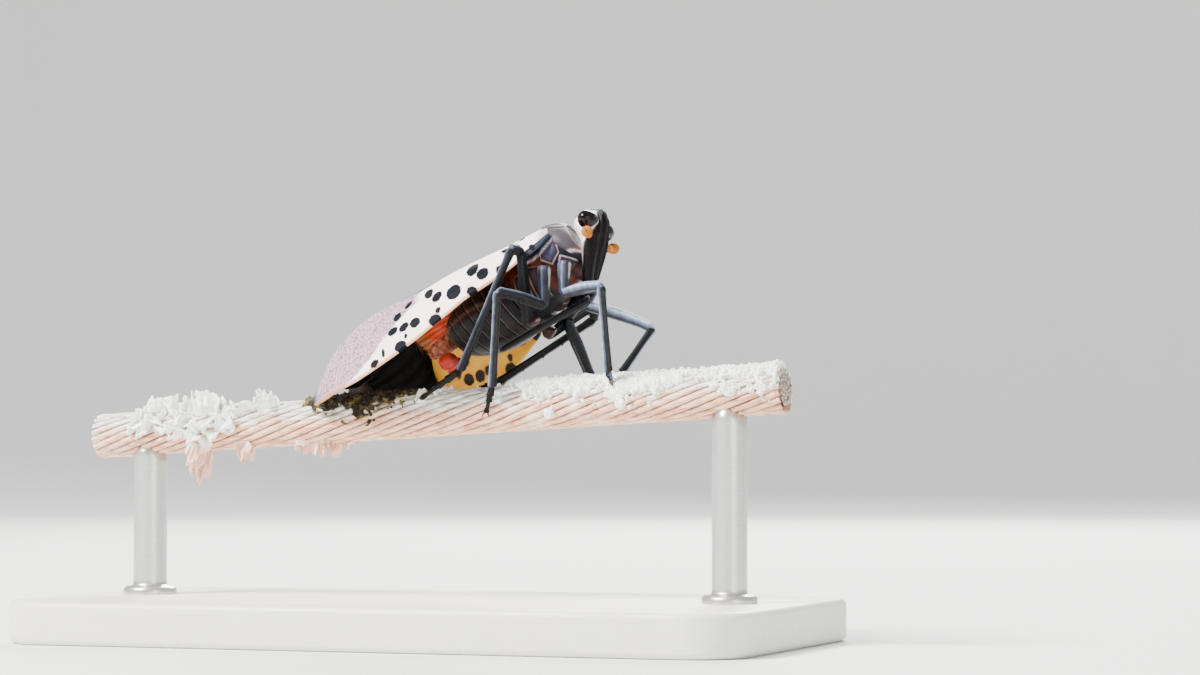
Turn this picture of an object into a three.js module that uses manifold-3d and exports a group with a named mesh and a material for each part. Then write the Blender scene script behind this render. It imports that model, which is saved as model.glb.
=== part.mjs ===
import * as THREE from 'three';
import { mergeVertices } from 'three/addons/utils/BufferGeometryUtils.js';
import Module from 'manifold-3d';

// A life-size spotted lanternfly gripping a cut length of weathered stranded cable on a display stand.
// Millimetres, +Z up, origin at the middle of the base's underside, +X towards the insect's head.
// Body frame: x forward, y to the insect's left, z up its back, zero under the rear of the neck shield.

const V = (x, y, z) => new THREE.Vector3(x, y, z);
const radians = THREE.MathUtils.degToRad;
const { lerp } = THREE.MathUtils;

// Stand and perch
const GAP = 0.25;
const BASE = { length: 54, width: 28, height: 3, corner: 4, bevel: 0.4 };
const ROD = { radius: 1.2, apart: 44, sides: 16 };
const CABLE = {
  radius: 1.6, wires: 18, groove: 0.12, reach: 26, height: 15.83, tilt: 3.3, pitch: 29, steps: 28,
};

// Lichen lobes on the cable: place along it, degrees round it from its top to its right, reach, half width
const LICHEN = [
  [-21.7, 60, 2.6, 1.4], [-20.5, 15, 3.2, 1.5], [-19.2, 85, 2.7, 1.5], [-18.4, -50, 2.6, 1.3],
  [-17.0, 20, 3.2, 1.5], [-16.6, 95, 2.7, 1.4], [-17.4, 165, 4.6, 0.9], [-14.9, 150, 3.5, 0.7],
  [-14.6, 60, 2.8, 1.4], [-14.2, -60, 2.5, 1.2], [-12.2, 25, 3.3, 0.9], [-8.2, 170, 3.1, 0.6],
  [-9.6, 160, 2.4, 0.6], [-7.0, 175, 2.3, 0.5],
];

// Pose of the body over the cable
const BODY = { pitch: 24.8, roll: 18.8, at: V(9.95, 0.4, 24.37) };

// Trunk stations: x, top, bottom, half width, height of the widest level, lean of the ring towards the head
const LEAN_LEVEL = 4.7;
const TRUNK_SIDES = 20;
const PRONOTUM = [
  [1.5, 4.4, 1.7, 1.5, 2.9, 0.22],
  [1.25, 4.62, 1.35, 1.95, 2.7, 0.28],
  [0.7, 4.78, 1.15, 2.35, 2.5, 0.38],
  [0.0, 4.86, 1.2, 2.4, 2.5, 0.5],
];
const THORAX = [
  [-0.3, 3.85, 0.95, 2.2, 2.1, 0.48],
  [-1.1, 3.7, 0.35, 2.3, 1.8, 0.36],
  [-2.2, 3.5, -0.5, 2.4, 1.4, 0.28],
  [-3.3, 3.0, -0.85, 2.3, 1.1, 0.22],
  [-3.9, 2.6, -0.85, 2.2, 0.9, 0.22],
];
const ABDOMEN = [
  [-4.15, 2.3, -1.1, 2.35, 0.5, 0.22],
  [-5.3, 2.4, -1.4, 2.9, 0.4, 0.22],
  [-6.8, 2.35, -1.5, 3.0, 0.3, 0.22],
  [-8.3, 2.0, -1.3, 2.6, 0.25, 0.22],
  [-9.5, 1.3, -0.85, 1.8, 0.15, 0.22],
];
const SEGMENT = { first: -4.9, last: -8.9, count: 5, depth: 0.1 };

// Head stations from the crown down to the tip of the face: z, front, back, half width
const HEAD_SIDES = 20;
const HEAD = [
  [4.52, 3.6, 2.45, 0.7],
  [4.3, 4.15, 2.1, 1.05],
  [3.6, 4.42, 2.1, 1.2],
  [2.9, 4.25, 2.25, 1.25],
  [2.1, 3.85, 2.45, 1.5],
  [1.2, 3.4, 2.4, 1.4],
  [0.2, 2.75, 1.75, 1.0],
  [-0.7, 2.15, 1.35, 0.58],
  [-1.15, 1.95, 1.42, 0.35],
];
const FACE_RIDGE = 0.14;
const EYE = { at: V(3.5, 1.5, 3.42), radius: 0.64, bulge: 0.66, levels: [0, 25, 50, 70, 84], sides: 14 };
const ANTENNA = {
  root: V(3.35, 1.75, 2.2), bulb: 0.36, length: 0.95, bristle: 1.1,
  out: { left: V(0.1, 1, 0.4), right: V(0.3, 1, -0.3) },
  profile: [
    [0, 0.2], [0.12, 0.24], [0.25, 0.22], [0.34, 0.32], [0.55, 1], [0.78, 0.95], [0.95, 0.6], [1, 0.3],
  ],
};
const BEAK = { from: V(1.3, 0, -1.62), to: V(-5.9, 0, -1.98), thick: 0.3, tip: 0.2 };

// Wings: pairs of points on the margin along the back and on the front margin, with the arch between them
const TEGMEN = {
  back: [V(-0.05, 1.6, 4.1), V(-2.6, 0.48, 4.72), V(-6, 0.48, 4.8), V(-9.6, 0.48, 4.9),
    V(-13.4, 0.55, 5.15), V(-16.9, 1.15, 3.5), V(-19.6, 1.95, 0.5)],
  front: [V(0.2, 3.35, 1.95), V(-2, 3.75, 1.25), V(-5.6, 4.95, -0.1), V(-9.4, 5.8, -1.6),
    V(-13.2, 5.9, -2.3), V(-16.6, 4.75, -1.8), V(-19.3, 2.8, -0.8)],
  arch: [0.3, 0.75, 1.1, 1.25, 1.3, 0.9, 0.1],
  thick: 0.5,
};
const VEIN = { height: 0.13, half: 0.028 };
const TEGMEN_VEINS = [[0.24, 0.1], [0.47, 0.34], [0.66, 0.58], [0.86, 0.82]];
const TEGMEN_ROWS = 22;
const HINDWING = {
  first: 0.2, last: 0.84, inner: 0.1, outer: [0.35, 0.4, 0.6, 0.94, 0.8], below: 0.85, thick: 0.5,
};
const HINDWING_VEINS = [[0.3, 0.3], [0.7, 0.7]];
const HINDWING_ROWS = 12;

// Legs: hips in the body frame, the other joints where the foot grips the cable, in the world frame
const LEGS = {
  fore_right: {
    coxa: [V(1.4, -2.1, 0.8), V(0.35, -1.45, -1.1)],
    knee: V(14.28, -4.1, 24.33), shin: V(14.28, -4.1, 24.33),
    ankle: V(13.85, -1.6, 18.6), toe: V(14.1, -1.6, 17.95),
    femur: 0.38, tibia: 0.28, spines: 0,
  },
  fore_left: {
    coxa: [V(1.4, 2.1, 0.8), V(0.5, 1.4, -1.05)],
    knee: V(15.62, 2.5, 21.72), shin: V(15.62, 2.5, 21.72),
    ankle: V(13.7, 1.5, 18.62), toe: V(13.05, 1.55, 18.1),
    femur: 0.38, tibia: 0.28, spines: 0,
  },
  mid_right: {
    coxa: [V(0.1, -2.75, 0.8), V(-1.1, -1.9, -1.6)],
    knee: V(6.93, -4.55, 24.03), shin: V(6.93, -4.55, 24.03),
    ankle: V(5.57, -2.2, 17.65), toe: V(4.95, -2.0, 15.85),
    femur: 0.36, tibia: 0.28, spines: 0,
  },
  mid_left: {
    coxa: [V(0.1, 2.75, 0.8), V(-1.2, 1.7, -1.2)],
    knee: V(10.95, 2.9, 18.2), shin: V(10.95, 2.9, 18.2),
    ankle: V(6.4, 2.6, 15.6), toe: V(5.0, 1.85, 14.7),
    femur: 0.4, tibia: 0.28, spines: 0,
  },
  hind_right: {
    coxa: [V(-2.3, -0.95, -1.5), V(-2.85, -1.45, -1.9)],
    knee: V(8.1, -3.2, 26.85), shin: V(7.9, -4.35, 27.0),
    ankle: V(3.15, -2.1, 18.8), toe: V(-0.1, -1.75, 17.1),
    femur: 0.36, tibia: 0.28, spines: 4,
  },
  hind_left: {
    coxa: [V(-2.3, 0.95, -1.5), V(-2.85, 1.45, -1.9)],
    knee: V(10.5, 4.3, 23.3), shin: V(10.35, 5.0, 22.5),
    ankle: V(4.35, 1.6, 17.95), toe: V(1.9, 1.6, 17.6),
    femur: 0.36, tibia: 0.28, spines: 4,
  },
};
const COXA = { wide: 0.62, thick: 0.36 };
const TARSUS = { radius: 0.25, tip: 0.16, claw: 0.5, clawRadius: 0.12 };
const JOINT_TAPER = 0.62;
const SPINE = { length: 0.55, radius: 0.16 };

// Colours of the sub-parts, with roughness and metalness
const finish = (color, roughness) => new THREE.MeshStandardMaterial({ color, roughness, metalness: 0 });
const FINISH = {
  horn: finish(0x23242b, 0.45),
  shield: finish(0x4a5064, 0.5),
  cream: finish(0xe6d3cc, 0.6),
  eye: finish(0x150f0e, 0.1),
  orange: finish(0xff9a10, 0.45),
  red: finish(0xd8200c, 0.5),
  flesh: finish(0xc08a70, 0.6),
  hindwing: finish(0xb02a18, 0.6),
  cable: finish(0xb59a86, 0.8),
  stand: finish(0xe8e6e0, 0.5),
};

// A mesh geometry from points and triangles, turned so that its faces point outwards.
function solid(points, index) {
  const volume = index.reduce((sum, unused, i) => {
    if (i % 3) return sum;
    const [a, b, c] = [points[index[i]], points[index[i + 1]], points[index[i + 2]]];
    return sum + a.dot(b.clone().cross(c));
  }, 0);
  const turned = volume < 0 ? index.slice().reverse() : index;
  const geometry = new THREE.BufferGeometry().setFromPoints(points);
  geometry.setIndex(turned);
  geometry.computeVertexNormals();
  return geometry;
}

// A closed solid through rings that have the same number of points.
function loft(rings) {
  const sides = rings[0].length;
  const points = rings.flat();
  const index = [];
  for (let ring = 0; ring + 1 < rings.length; ring++) {
    for (let side = 0; side < sides; side++) {
      const a = ring * sides + side;
      const b = ring * sides + ((side + 1) % sides);
      index.push(a, b, b + sides, a, b + sides, a + sides);
    }
  }
  [0, rings.length - 1].forEach((ring, end) => {
    const middle = rings[ring].reduce((sum, p) => sum.add(p), V(0, 0, 0)).divideScalar(sides);
    points.push(middle);
    for (let side = 0; side < sides; side++) {
      const a = ring * sides + side;
      const b = ring * sides + ((side + 1) % sides);
      index.push(points.length - 1, end ? a : b, end ? b : a);
    }
  });
  return solid(points, index);
}

// A round or flattened limb along a path: each station is a point, a radius across and a radius through.
function limb(stations, sides, flat = V(0, 0, 1)) {
  const rings = stations.map(([at, across, through], i) => {
    const before = stations[Math.max(i - 1, 0)][0];
    const after = stations[Math.min(i + 1, stations.length - 1)][0];
    const along = after.clone().sub(before).normalize();
    const side = along.clone().cross(flat).normalize();
    const over = side.clone().cross(along).normalize();
    return Array.from({ length: sides }, (unused, s) => {
      const angle = (2 * Math.PI * (s + 0.5)) / sides;
      return at.clone().addScaledVector(over, through * Math.cos(angle))
        .addScaledVector(side, across * Math.sin(angle));
    });
  });
  return loft(rings);
}

// A point at a share of the way from one point to another.
const between = (a, b, share) => a.clone().lerp(b, share);

// A point moved towards another by a distance.
const towards = (a, b, distance) => a.clone().add(b.clone().sub(a).setLength(distance));

const wasm = await Module();
wasm.setup();

// Closed geometries joined into one closed solid, of which the largest piece is kept.
function join(geometries) {
  const parts = geometries.map((geometry) => {
    const plain = geometry.clone();
    plain.deleteAttribute('normal');
    plain.deleteAttribute('uv');
    const merged = mergeVertices(plain, 1e-4);
    return new wasm.Manifold(new wasm.Mesh({
      numProp: 3,
      vertProperties: new Float32Array(merged.attributes.position.array),
      triVerts: new Uint32Array(merged.index.array),
    }));
  });
  const pieces = wasm.Manifold.union(parts).decompose();
  const whole = pieces.reduce((best, piece) => (piece.volume() > best.volume() ? piece : best));
  const mesh = whole.getMesh();
  const geometry = new THREE.BufferGeometry();
  geometry.setAttribute('position', new THREE.BufferAttribute(mesh.vertProperties, mesh.numProp));
  geometry.setIndex(new THREE.BufferAttribute(mesh.triVerts, 1));
  geometry.computeVertexNormals();
  return geometry;
}

const model = new THREE.Group();
const body = new THREE.Group();
body.position.copy(BODY.at);
body.rotation.set(-radians(BODY.roll), -radians(BODY.pitch), 0, 'YXZ');
model.add(body);
model.updateMatrixWorld(true);
const fromBody = (point) => body.localToWorld(point.clone());

function add(group, name, geometry, material) {
  const mesh = new THREE.Mesh(geometry, material);
  mesh.name = name;
  group.add(mesh);
}

const SIDES = { left: 1, right: -1 };
const mirrored = (point, side) => V(point.x, point.y * side, point.z);

// Trunk: a leaning oval ring at each station
function trunkRing([x, top, bottom, half, level, lean]) {
  return Array.from({ length: TRUNK_SIDES }, (unused, s) => {
    const angle = (2 * Math.PI * s) / TRUNK_SIDES;
    const rise = Math.sin(angle);
    const z = level + rise * (rise > 0 ? top - level : level - bottom);
    return V(x + lean * (LEAN_LEVEL - z), half * Math.cos(angle), z);
  });
}

// Abdomen: the same rings, pinched in at the seams between its segments
function abdomenStations() {
  const steps = 2 * SEGMENT.count;
  const stations = [ABDOMEN[0]];
  for (let step = 0; step <= steps; step++) {
    const x = lerp(SEGMENT.first, SEGMENT.last, step / steps);
    const after = ABDOMEN.findIndex((station) => station[0] < x);
    const [from, to] = [ABDOMEN[after - 1], ABDOMEN[after]];
    const share = (x - from[0]) / (to[0] - from[0]);
    const pinch = step % 2 ? 0 : SEGMENT.depth;
    const [, top, bottom, half, level, lean] = from.map((value, i) => lerp(value, to[i], share));
    stations.push([x, top - pinch, bottom + pinch, half - pinch, level, lean]);
  }
  return [...stations, ABDOMEN.at(-1)];
}

add(body, 'pronotum', loft(PRONOTUM.map(trunkRing)), FINISH.shield);
add(body, 'thorax', loft(THORAX.map(trunkRing)), FINISH.shield);
add(body, 'abdomen', loft(abdomenStations().map(trunkRing)), FINISH.horn);

// Scutellum: the small shield that fills the wedge between the wing bases
const SCUTELLUM = { from: V(-0.35, 0, 4.4), to: V(-2.5, 0, 4.45), half: 1.05, tip: 0.2, thick: 0.3 };
add(body, 'scutellum', limb([0, 0.4, 0.8, 1].map((share) => [
  between(SCUTELLUM.from, SCUTELLUM.to, share),
  lerp(SCUTELLUM.half, SCUTELLUM.tip, share),
  lerp(SCUTELLUM.thick, SCUTELLUM.tip, share),
]), 8), FINISH.shield);

// Head: rings from the crown down, with a raised keel down the middle of the face
function headRing([z, front, back, half]) {
  const [middle, depth] = [(front + back) / 2, (front - back) / 2];
  return Array.from({ length: HEAD_SIDES }, (unused, s) => {
    const angle = (2 * Math.PI * s) / HEAD_SIDES;
    const squared = (value) => Math.sign(value) * Math.abs(value) ** 0.75;
    const keel = s === 0 ? FACE_RIDGE : 0;
    const front = middle + (depth + keel) * squared(Math.cos(angle)) - keel / 2;
    return V(front, half * squared(Math.sin(angle)), z);
  });
}
add(body, 'head', loft(HEAD.map(headRing)), FINISH.cream);

// Beak: the slender sheath that lies back between the legs
add(body, 'beak', limb([0, 0.04, 0.5, 0.97, 1].map((share, i) => {
  const size = i === 0 || i === 4 ? 0.6 : 1;
  const radius = size * lerp(BEAK.thick, BEAK.tip, share);
  return [between(BEAK.from, BEAK.to, share), radius, radius];
}), 8), FINISH.horn);

// Eyes and antennae
for (const [name, side] of Object.entries(SIDES)) {
  const dome = EYE.levels.map(radians).map((angle) => Array.from({ length: EYE.sides }, (unused, s) => {
    const turn = (2 * Math.PI * s) / EYE.sides;
    const radius = EYE.radius * Math.cos(angle);
    const out = side * (EYE.at.y + EYE.bulge * Math.sin(angle));
    return V(EYE.at.x + radius * Math.cos(turn), out, EYE.at.z + radius * Math.sin(turn));
  }));
  add(body, `eye_${name}`, loft(dome), FINISH.eye);

  const out = ANTENNA.out[name].clone().normalize();
  const feeler = (share) => mirrored(ANTENNA.root.clone().addScaledVector(out, share * ANTENNA.length), side);
  const stalk = ANTENNA.profile.map(([share, size]) => {
    const radius = Math.max(size * ANTENNA.bulb, 0.2);
    return [feeler(share), radius, radius];
  });
  const bristle = [0.95, 1 + ANTENNA.bristle].map((share, i) => {
    const radius = i ? 0.04 : 0.1;
    return [feeler(share), radius, radius];
  });
  add(body, `antenna_${name}`, join([limb(stalk, 10), limb(bristle, 5)]), FINISH.orange);
}

// Wings: a sheet between its two margins, arched outwards, with the main veins raised on its outer face
const curve = (points) => new THREE.CatmullRomCurve3(points, false, 'catmullrom', 0.5);
const backMargin = curve(TEGMEN.back);
const frontMargin = curve(TEGMEN.front);
const archCurve = curve(TEGMEN.arch.map((height) => V(height, 0, 0)));

function tegmenPoint(along, across) {
  const [a, b] = [backMargin.getPoint(along), frontMargin.getPoint(along)];
  const outward = V(0, a.z - b.z, b.y - a.y).normalize();
  const arch = archCurve.getPoint(along).x * 4 * across * (1 - across);
  return between(a, b, across).addScaledVector(outward, arch);
}

function tegmenNormal(along, across) {
  const step = 0.01;
  const [u0, u1] = [Math.max(along - step, 0), Math.min(along + step, 1)];
  const [v0, v1] = [Math.max(across - step, 0), Math.min(across + step, 1)];
  const forward = tegmenPoint(u1, across).sub(tegmenPoint(u0, across));
  const sideways = tegmenPoint(along, v1).sub(tegmenPoint(along, v0));
  return sideways.cross(forward).normalize();
}

// The columns across a wing: both margins, each vein with a foot on either side, and a point between veins
function columns(veins, along) {
  const feet = [[0, 0]];
  let last = 0;
  for (const [start, end] of veins) {
    const vein = lerp(start, end, along);
    feet.push([(last + vein - VEIN.half) / 2, 0], [vein - VEIN.half, 0]);
    feet.push([vein, VEIN.height], [vein + VEIN.half, 0]);
    last = vein + VEIN.half;
  }
  return [...feet, [(last + 1) / 2, 0], [1, 0]];
}

function vane({ rows, veins, place, thick, side }) {
  const outer = [];
  const inner = [];
  for (let row = 0; row <= rows; row++) {
    const along = row / rows;
    for (const [across, raised] of columns(veins, along)) {
      const { point, normal } = place(along, across);
      const height = raised * Math.min(1, 6 * (1 - along));
      outer.push(mirrored(point.clone().addScaledVector(normal, height), side));
      inner.push(mirrored(point.clone().addScaledVector(normal, -thick(along)), side));
    }
  }
  const width = outer.length / (rows + 1);
  const count = outer.length;
  const index = [];
  const quad = (a, b, c, d) => index.push(a, b, c, a, c, d);
  for (let row = 0; row < rows; row++) {
    for (let column = 0; column + 1 < width; column++) {
      const a = row * width + column;
      index.push(a, a + 1, a + width + 1, a, a + width + 1, a + width);
      const b = count + a;
      index.push(b, b + width + 1, b + 1, b, b + width, b + width + 1);
    }
    for (const [column, turn] of [[0, 1], [width - 1, 0]]) {
      const [a, b] = [row * width + column, (row + 1) * width + column];
      if (turn) quad(a, b, b + count, a + count);
      else quad(a, a + count, b + count, b);
    }
  }
  for (let column = 0; column + 1 < width; column++) {
    const end = rows * width + column;
    quad(column, column + count, column + 1 + count, column + 1);
    quad(end, end + 1, end + 1 + count, end + count);
  }
  return solid([...outer, ...inner], index);
}

const outerEdge = curve(HINDWING.outer.map((across) => V(across, 0, 0)));
for (const [name, side] of Object.entries(SIDES)) {
  add(body, `tegmen_${name}`, vane({
    rows: TEGMEN_ROWS,
    veins: TEGMEN_VEINS,
    thick: () => TEGMEN.thick,
    place: (along, across) => ({ point: tegmenPoint(along, across), normal: tegmenNormal(along, across) }),
    side,
  }), FINISH.cream);
  add(body, `hindwing_${name}`, vane({
    rows: HINDWING_ROWS,
    veins: HINDWING_VEINS,
    thick: () => HINDWING.thick,
    place: (share, across) => {
      const along = lerp(HINDWING.first, HINDWING.last, share);
      const reach = lerp(HINDWING.inner, outerEdge.getPoint(share).x, across);
      const normal = tegmenNormal(along, reach);
      return { point: tegmenPoint(along, reach).addScaledVector(normal, -HINDWING.below), normal };
    },
    side,
  }), FINISH.hindwing);
}

// Tail: the anal tube, and the bright red valves below it
const TAIL = { at: V(-9.75, 0, 0.55), to: V(-11.0, 0, 0.25), radius: 0.75 };
add(body, 'anal_tube', limb([[0, 0.8], [0.3, 1], [0.75, 0.9], [1, 0.5]].map(([share, size]) => [
  between(TAIL.at, TAIL.to, share), size * TAIL.radius, size * TAIL.radius * 0.75,
]), 12), FINISH.flesh);
const VALVE = { at: V(-9.1, 0.5, -1.25), to: V(-10.2, 0.45, -1.15), radius: 0.62 };
add(body, 'valves', join(Object.values(SIDES).map((side) => limb(
  [[0, 0.5], [0.2, 0.9], [0.55, 1], [0.85, 0.75], [1, 0.35]].map(([share, size]) => [
    mirrored(between(VALVE.at, VALVE.to, share), side), size * VALVE.radius, size * VALVE.radius,
  ]), 10))), FINISH.red);

// How far a segment stops short of a joint, so that it clears the next one by the gap however the leg bends.
function setback(joint, from, to, radius) {
  const bend = from.clone().sub(joint).angleTo(to.clone().sub(joint));
  return Math.max(GAP / 2, (GAP / 2 + radius * JOINT_TAPER) / Math.tan(bend / 2));
}

// A leg segment, rounded at both ends and slightly thicker along the middle.
function segment(from, to, radius, sides = 8) {
  const shape = [[0, JOINT_TAPER], [0.05, 0.92], [0.4, 1], [0.93, 0.86], [1, JOINT_TAPER]];
  return limb(shape.map(([share, size]) => [between(from, to, share), size * radius, size * radius]), sides);
}

for (const [name, leg] of Object.entries(LEGS)) {
  const [root, hip] = leg.coxa.map(fromBody);
  const side = Math.sign(leg.coxa[0].y);
  const hipGap = setback(hip, root, leg.knee, leg.femur);
  const kneeGap = leg.knee.equals(leg.shin) ? setback(leg.knee, hip, leg.ankle, leg.femur) : 0;
  const outwards = fromBody(V(0, side, 0.5)).sub(fromBody(V(0, 0, 0)));
  const lobe = [[0, 0.7], [0.12, 1], [0.6, 0.8], [1, 0.45]];
  add(model, `${name}_coxa`, limb(lobe.map(([share, size]) => [
    between(root, towards(hip, root, hipGap), share), size * COXA.wide, size * COXA.thick,
  ]), 10, outwards), FINISH.shield);
  add(model, `${name}_femur`, segment(
    towards(hip, leg.knee, hipGap), towards(leg.knee, hip, kneeGap), leg.femur), FINISH.horn);

  const shin = towards(leg.shin, leg.ankle, kneeGap);
  const shaft = [segment(shin, towards(leg.ankle, shin, GAP / 2), leg.tibia)];
  for (let spine = 0; spine < leg.spines; spine++) {
    const at = between(shin, leg.ankle, 0.3 + (0.6 * spine) / (leg.spines - 1));
    const along = leg.ankle.clone().sub(shin).normalize();
    const down = V(0, 0, -1).addScaledVector(along, 0.6).normalize();
    shaft.push(limb([[at, SPINE.radius, SPINE.radius],
      [at.clone().addScaledVector(down, SPINE.length), 0.04, 0.04]], 5));
  }
  add(model, `${name}_tibia`, join(shaft), FINISH.horn);

  const heel = towards(leg.ankle, leg.toe, GAP / 2);
  const pads = [[0, 0.7], [0.08, 1], [0.3, 0.75], [0.38, 1], [0.6, 0.75], [0.68, 1], [0.95, 0.9], [1, 0.6]];
  const foot = [limb(pads.map(([share, size]) => {
    const radius = size * lerp(TARSUS.radius, TARSUS.tip, share);
    return [between(heel, leg.toe, share), radius, radius];
  }), 8)];
  const forward = leg.toe.clone().sub(heel).normalize();
  const across = forward.clone().cross(V(0, 0, 1)).normalize();
  for (const turn of Object.values(SIDES)) {
    const start = leg.toe.clone().addScaledVector(forward, -0.12);
    const end = leg.toe.clone().addScaledVector(forward, TARSUS.claw * 0.6);
    end.addScaledVector(across, turn * TARSUS.claw * 0.5);
    foot.push(limb([[start, TARSUS.clawRadius, TARSUS.clawRadius], [end, 0.04, 0.04]], 5));
  }
  add(model, `${name}_tarsus`, join(foot), FINISH.horn);
}

// Perch: a cut length of stranded cable, its outer wires as ridges that wind round it
const slope = Math.tan(radians(CABLE.tilt));
const cableAxis = (x) => V(x, 0, CABLE.height + slope * x);
const cableUp = V(-slope, 0, 1).normalize();
const cableRings = Array.from({ length: CABLE.steps + 1 }, (unused, step) => {
  const x = lerp(-CABLE.reach, CABLE.reach, step / CABLE.steps);
  const turn = (2 * Math.PI * x) / CABLE.pitch;
  return Array.from({ length: 2 * CABLE.wires }, (unusedToo, s) => {
    const angle = turn + (Math.PI * s) / CABLE.wires;
    const radius = CABLE.radius - (s % 2 ? CABLE.groove : 0);
    return cableAxis(x).addScaledVector(cableUp, radius * Math.cos(angle))
      .add(V(0, radius * Math.sin(angle), 0));
  });
});

// Lichen: leafy lobes rooted in the cable, each a flattened tongue that stands out from it
const lobes = LICHEN.map(([x, angle, reach, width]) => {
  const turn = radians(angle);
  const out = cableUp.clone().multiplyScalar(Math.cos(turn)).add(V(0, -Math.sin(turn), 0));
  const profile = [[0.9, 0.6, 0.4], [1.5, 0.9, 0.5], [lerp(1.5, reach, 0.45), 1, 0.42],
    [lerp(1.5, reach, 0.85), 0.75, 0.34], [reach, 0.4, 0.24]];
  return limb(profile.map(([radius, share, thick]) => [
    cableAxis(x).addScaledVector(out, radius), thick, share * width,
  ]), 8, V(1, 0, 0));
});
add(model, 'perch_cable', join([loft(cableRings), ...lobes]), FINISH.cable);

// Stand: a flat base with eased edges and two short rods up to the perch
const outline = new THREE.Shape();
const [halfLength, halfWidth] = [BASE.length / 2 - BASE.bevel, BASE.width / 2 - BASE.bevel];
outline.moveTo(-halfLength + BASE.corner, -halfWidth);
[[1, -1, -90], [1, 1, 0], [-1, 1, 90], [-1, -1, 180]].forEach(([sx, sy, angle]) => {
  outline.absarc(sx * (halfLength - BASE.corner), sy * (halfWidth - BASE.corner), BASE.corner,
    radians(angle), radians(angle + 90), false);
});
const slab = new THREE.ExtrudeGeometry(outline, {
  depth: BASE.height - 2 * BASE.bevel, bevelSize: BASE.bevel, bevelThickness: BASE.bevel,
  bevelSegments: 1, curveSegments: 5,
});
slab.translate(0, 0, BASE.bevel);
add(model, 'stand_base', slab, FINISH.stand);
for (const [name, side] of [['front', 1], ['back', -1]]) {
  const x = (side * ROD.apart) / 2;
  const low = BASE.height + GAP;
  const top = cableAxis(x).z - CABLE.radius / Math.cos(radians(CABLE.tilt)) - GAP - ROD.radius * slope;
  const rod = new THREE.CylinderGeometry(ROD.radius, ROD.radius, top - low, ROD.sides);
  rod.rotateX(Math.PI / 2);
  rod.translate(x, 0, (low + top) / 2);
  add(model, `stand_rod_${name}`, rod, FINISH.stand);
}

export default model;
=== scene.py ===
# A life-size spotted lanternfly gripping a cut length of weathered stranded cable on a display stand.
# Sizes are millimetres and turn into Blender's metres where a mesh is made.
# Body frame: x towards the head, y to the insect's left, z up its back, zero below the neck shield's rear.
import math

import bmesh
import bpy
import numpy as np
from mathutils import Matrix, Vector


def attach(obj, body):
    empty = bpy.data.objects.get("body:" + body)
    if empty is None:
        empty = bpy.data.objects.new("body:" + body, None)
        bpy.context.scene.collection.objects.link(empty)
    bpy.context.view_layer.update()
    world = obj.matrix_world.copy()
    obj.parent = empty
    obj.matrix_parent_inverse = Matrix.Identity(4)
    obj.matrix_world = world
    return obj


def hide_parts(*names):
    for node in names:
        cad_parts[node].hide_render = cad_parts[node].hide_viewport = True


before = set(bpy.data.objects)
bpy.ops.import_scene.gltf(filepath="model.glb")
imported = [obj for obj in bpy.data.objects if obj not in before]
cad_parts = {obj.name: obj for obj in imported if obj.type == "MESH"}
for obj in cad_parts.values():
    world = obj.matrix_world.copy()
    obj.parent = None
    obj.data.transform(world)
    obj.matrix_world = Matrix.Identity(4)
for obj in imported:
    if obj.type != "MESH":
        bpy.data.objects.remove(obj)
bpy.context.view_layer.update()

# Camera: a 100 mm lens at the photograph's angle, looking slightly up at the side of the insect.
# The photograph is 1200 pixels wide, and one millimetre on the perch covers 14.4 of them.
METRES = 0.001
CAMERA_TURN = math.radians(20.9)
CAMERA_RISE = math.radians(-2.0)
CAMERA_AT = Vector((94.026, -213.066, 13.057)) * METRES
camera_data = bpy.data.cameras.new("camera")
camera_data.lens = 100
camera_data.sensor_width = 36
camera_data.clip_start = 0.005
camera = bpy.data.objects.new("camera", camera_data)
bpy.context.scene.collection.objects.link(camera)
sight_right = Vector((math.cos(CAMERA_TURN), math.sin(CAMERA_TURN), 0))
sight_back = Vector((
    math.sin(CAMERA_TURN) * math.cos(CAMERA_RISE),
    -math.cos(CAMERA_TURN) * math.cos(CAMERA_RISE),
    math.sin(CAMERA_RISE),
))
facing = Matrix((sight_right, sight_back.cross(sight_right), sight_back)).transposed().to_4x4()
camera.matrix_world = Matrix.Translation(CAMERA_AT) @ facing
bpy.context.scene.camera = camera

# Studio: three soft round lamps and a pale surround, bright from above and from the left of the camera.
# Each lamp row holds its place and size in metres, its power in watts and its tint.
STUDIO_MIDDLE = Vector((0.0, 0.0, 0.018))
LAMPS = {
    "key_lamp": ((-0.20, -0.24, 0.34), 0.16, 8.8, (1.0, 0.985, 0.96)),
    "fill_lamp": ((0.34, -0.30, 0.10), 0.26, 0.7, (0.93, 0.96, 1.0)),
    "back_lamp": ((-0.05, 0.36, 0.26), 0.22, 4.5, (1.0, 1.0, 0.98)),
}
for lamp_name, (lamp_at, lamp_size, lamp_power, lamp_tint) in LAMPS.items():
    lamp_data = bpy.data.lights.new(lamp_name, "AREA")
    lamp_data.shape = "DISK"
    lamp_data.size = lamp_size
    lamp_data.energy = lamp_power
    lamp_data.color = lamp_tint
    lamp = bpy.data.objects.new(lamp_name, lamp_data)
    lamp.location = lamp_at
    lamp.rotation_euler = (STUDIO_MIDDLE - lamp.location).to_track_quat("-Z", "Y").to_euler()
    bpy.context.scene.collection.objects.link(lamp)
sky = bpy.data.worlds.new("pale_sky")
sky.use_nodes = True
sky.node_tree.nodes["Background"].inputs["Color"].default_value = (0.86, 0.90, 0.94, 1)
sky.node_tree.nodes["Background"].inputs["Strength"].default_value = 0.8
bpy.context.scene.world = sky


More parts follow.
